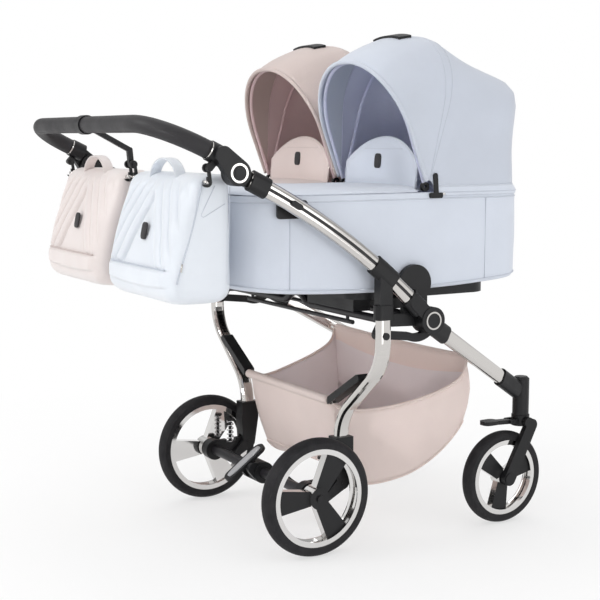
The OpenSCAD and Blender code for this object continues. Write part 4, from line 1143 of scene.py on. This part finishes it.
def basket_loop(stops, front_bow, front_sag, right_sag):
    """Closed loop along the left side, across the front, back along the sagging right side and the rear."""
    left = spline(stops, SIDE_STEPS)
    right = []
    for i, p in enumerate(left):
        dip = right_sag * sin(pi * i / (SIDE_STEPS - 1)) ** 0.8
        right.insert(0, Vector((p.x, -p.y, p.z - dip)))
    corner = left[-1]
    front = []
    for k in range(1, FRONT_STEPS):
        v = 2 * k / FRONT_STEPS - 1
        bulge = 1 - v * v
        front.append(Vector((corner.x + front_bow * bulge, corner.y * -v, corner.z - front_sag * bulge)))
    rear = [right[-1].lerp(left[0], k / REAR_STEPS) for k in range(1, REAR_STEPS)]
    loop = left + front + right + rear
    for step in range(CORNER_ROUNDS):
        loop = [(loop[i - 1] + p * 2 + loop[(i + 1) % len(loop)]) / 4 for i, p in enumerate(loop)]
    return loop


def corner_tongue(label, side):
    """Cloth tongue from the basket's front corner to the inner side of a front leg."""
    along = Vector((LEG_RUN[0], side * LEG_RUN[1], LEG_RUN[2]))
    across = Vector((0, side, 0))
    across = (across - along * across.dot(along)).normalized()
    over = along.cross(across)
    leg = Vector((LEG_SPOT[0], side * LEG_SPOT[1], LEG_SPOT[2])) - across * LEG_HALF
    x, y, z = BASKET_RIM[-1]
    corner = Vector((x, side * (y - TONGUE_IN[0]), z - TONGUE_IN[1]))
    rows = []
    for spot in (corner, leg):
        rows.append([at(*(spot + along * a * TONGUE_WIDE / 2 + over * b * TONGUE_THIN))
                     for a, b in ((-1, -1), (1, -1), (1, 1), (-1, 1))])
    return attach(loft("basket_tongue_" + label, rows, [basket_cloth]), "base_frame")


def basket_rows(rim, floor):
    """Rows of the basket's cloth from its rim down swelling walls and over its floor to the middle."""
    rows = []
    for t in shares(BASKET_ROWS):
        bulge = sin(pi * t)
        row = []
        for top, low in zip(rim, floor):
            p = top.lerp(low, t)
            away = Vector((p.x - BASKET_HEART[0], p.y, 0)).normalized()
            spot = at(*p)
            swell = (SIDE_SWELL if top.x > REAR_LIMIT else REAR_SWELL) * bulge
            swell += sum(wrinkle(spot, size, height * bulge) for size, height in BASKET_CREASES)
            row.append(at(*(p + away * swell)))
        rows.append(row)
    for share in BASKET_SHARES:
        shrunk = [Vector(BASKET_CENTRE).lerp(low, share) for low in floor]
        rows.append([at(p.x, p.y, p.z - BASKET_DIP * (1 - share)) for p in shrunk])
    return rows


def build_basket():
    rim = basket_loop(BASKET_RIM, *RIM_FRONT, RIGHT_SAG)
    floor = basket_loop(BASKET_FLOOR, *FLOOR_FRONT, 0)
    points, faces, numbers = grid(basket_rows(rim, floor), True)
    for i in range(BAND_ROWS):
        for k in range(SIDE_STEPS - 1, SIDE_STEPS + FRONT_STEPS - 1):
            numbers[i * len(rim) + k] = 2
    finishes = [basket_cloth, basket_mesh, basket_cloth, basket_cloth]
    skin = piece("basket_cloth", points, faces, finishes, numbers, at(*BASKET_HEART))
    made = thicken(skin, thickness=2.2, second=1)
    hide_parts("basket")
    hem = tube("basket_hem", [at(*p) for p in rim], 3.4, basket_cloth, 10, True)
    bar_line = [at(BAR[0], y, ROLL_HIGH) for y in spread(ROLL_HALF, 40)]
    roll = tube("basket_roll", bar_line, 10.5, basket_cloth, 16)
    piping = tube("basket_piping", [at(*p) for p in floor], 1.8, basket_cloth, 8, True)
    for part in (made, hem, roll, piping):
        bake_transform(part)
    corner_tongue("left", 1)
    corner_tongue("right", -1)


# Padded grip
RING = (-315.1552, 908.2807)
BAR_SLOPE = radians(25.5)
BEND = 117
STRAIGHT = 269
GRIP_R = 18


def grip_line():
    """Centre line of the grip from the left ring to the right one, as (along the slope, y)."""
    line = [(BEND * sin(radians(a)), STRAIGHT + BEND * cos(radians(a))) for a in range(0, 91, 3)]
    line += [(BEND, STRAIGHT - 2 * STRAIGHT * k / 40) for k in range(1, 40)]
    line += [(BEND * cos(radians(a)), -STRAIGHT - BEND * sin(radians(a))) for a in range(0, 91, 3)]
    return line


def on_bar(along, y):
    return at(RING[0] - along * cos(BAR_SLOPE), y, RING[1] + along * sin(BAR_SLOPE))


def build_grip():
    line = [on_bar(*p) for p in grip_line()]
    made = tube("grip", line, GRIP_R, leatherette, 28)
    attach(made, "handlebar", ["handle_grip"])
    up = Vector((sin(BAR_SLOPE), 0, cos(BAR_SLOPE)))
    for label, sign in (("low", -1), ("high", 1)):
        seam = [p + up * sign * GRIP_R / 1000 for p in line]
        attach(tube("grip_seam_" + label, seam, STITCH, groove_dark, 6), "handlebar")


# Pale pad let into the brake pedal's tread
PEDAL_SLOPE = radians(36)
PEDAL_SPOT = (-35.9, 0, 159.9)


def build_pedal_pad():
    tread = Vector((cos(PEDAL_SLOPE), 0, sin(PEDAL_SLOPE)))
    pad = plain_patch("pedal_pad", at(*PEDAL_SPOT), Vector((0, -1, 0)), tread,
                      width=24, height=104, finish=pale_inlay)
    attach(pad, "brake_pedal")


# Coil springs riding on the rear frame
SPRING_SPOT = (44, 229)
SPRING_LOW = 151.3
SPRING_HIGH = 207.7
SPRING_R = 7.6
WIRE_R = 1.4
TURNS = 6.5
FLAT_TURNS = 0.75
COIL_STEPS = 200


def build_springs():
    points = []
    faces = []
    for side in (1, -1):
        line = []
        for f in shares(COIL_STEPS):
            turns = TURNS * f
            a = 2 * pi * turns
            rise = rising(turns, FLAT_TURNS, TURNS - 2 * FLAT_TURNS)
            z = SPRING_LOW + WIRE_R + (SPRING_HIGH - SPRING_LOW - 2 * WIRE_R) * rise
            line.append(at(SPRING_SPOT[0] + SPRING_R * cos(a), side * SPRING_SPOT[1] + SPRING_R * sin(a), z))
        coil = tube("coil", line, WIRE_R, spring_wire, 8)
        shift = len(points)
        points += [v.co.copy() for v in coil.data.vertices]
        faces += [tuple(n + shift for n in f.vertices) for f in coil.data.polygons]
        bpy.data.objects.remove(coil)
    made = piece("coil_springs", points, faces, [spring_wire])
    attach(made, "rear_frame", ["springs"])
    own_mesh(made)


# Brake cables, from the housing along the axle to the hub carriers
CABLE = ((19, 36.4, 139), (25, 46, 141), (32, 62, 139), (36, 85, 133), (37, 115, 127),
         (36, 145, 127), (33, 175, 132), (28, 198, 136), (22, 212, 137), (16, 222, 137))
CABLE_THICK = 5


def build_cables():
    for label, side in (("left", 1), ("right", -1)):
        line = [at(p.x, side * p.y, p.z) for p in spline(CABLE, 60)]
        made = tube("brake_cable_" + label, line, CABLE_THICK / 2, cable_sleeve, 12)
        attach(made, "rear_axle", ["brake_cables"])


for side_name, side_sign, side_tint in SIDES:
    build_cot(side_name, side_sign, side_tint)
    build_apron(side_name, side_sign, side_tint)
    build_hood(side_name, side_sign, side_tint)
    build_mattress(side_name, side_sign)
    build_bag(side_name, side_sign, side_tint)
build_basket()
build_grip()
build_pedal_pad()
build_springs()
build_cables()

# Floor, studio light and white surroundings
bpy.ops.mesh.primitive_plane_add(size=40, location=(0, 0, 0))
floor = bpy.context.object
floor.name = "floor"
floor_finish, floor_tree, floor_shader = start_material("floor", (0.93, 0.93, 0.93, 1), 0.8)
floor.data.materials.append(floor_finish)

# To the camera, in metal and through glass the floor is mostly plain white, with the object's shadow on it
path = add(floor_tree, "ShaderNodeLightPath")
seen = path.outputs["Is Camera Ray"]
for ray in ("Is Glossy Ray", "Is Transmission Ray"):
    seen = maths(floor_tree, "MAXIMUM", seen, path.outputs[ray])
distance = place(floor_tree, add(floor_tree, "ShaderNodeVectorMath", {"operation": "LENGTH"}))
fade = add(floor_tree, "ShaderNodeMapRange", From_Min=0.7, From_Max=1.8, To_Min=0.6, To_Max=1.0)
floor_tree.links.new(distance.outputs["Value"], fade.inputs["Value"])
white = add(floor_tree, "ShaderNodeEmission", Color=(1, 1, 1, 1), Strength=1.0)
white_share = maths(floor_tree, "MULTIPLY", seen, fade.outputs["Result"])
end_with_mix(floor_tree, white_share, floor_shader.outputs["BSDF"], white.outputs["Emission"])

# Surroundings: white at eye level, a grey band above it that gives the metal contrast, a bright ceiling
SKY = ((0.13, 1.0), (0.22, 0.45), (0.4, 0.5), (0.52, 0.95))
world = bpy.data.worlds.new("studio")
scene.world = world
world.use_nodes = True
sky = world.node_tree
background = sky.nodes["Background"]
direction = add(sky, "ShaderNodeTexCoord")
height = add(sky, "ShaderNodeSeparateXYZ")
sky.links.new(direction.outputs["Generated"], height.inputs["Vector"])
ramp = add(sky, "ShaderNodeValToRGB")
stops = ramp.color_ramp.elements
stops[0].color = (1, 1, 1, 1)
stops[1].color = (1, 1, 1, 1)
for level, grey in SKY:
    stops.new(level).color = (grey, grey, grey, 1)
sky.links.new(height.outputs["Z"], ramp.inputs["Fac"])
sky.links.new(ramp.outputs["Color"], background.inputs["Color"])
background.inputs["Strength"].default_value = 1.0


def lamp(name, place_at, target, size, power, cone=180):
    """A square lamp at a place, aimed at a target, that shines into a cone of some degrees."""
    light = bpy.data.lights.new(name, "AREA")
    light.size = size
    light.energy = power
    light.spread = radians(cone)
    made = bpy.data.objects.new(name, light)
    made.location = place_at
    made.rotation_euler = (Vector(target) - Vector(place_at)).to_track_quat("-Z", "Y").to_euler()
    scene.collection.objects.link(made)


lamp("key", (-2.7, 0.5, 2.3), (0, 0, 0.7), 1.0, 24)
lamp("fill", (0.6, -3.2, 0.8), (0.1, 0, 0.4), 1.8, 19)
lamp("top", (0.4, 0.6, 3.2), (0, 0, 0.6), 2.4, 8)
lamp("into_hoods", (-2.8, -0.9, 1.15), (0.2, 0, 1.06), 0.5, 0.25, cone=10)
lamp("into_basket", (-2.6, -1.2, 0.75), (0.2, 0, 0.28), 0.5, 0.2, cone=10)
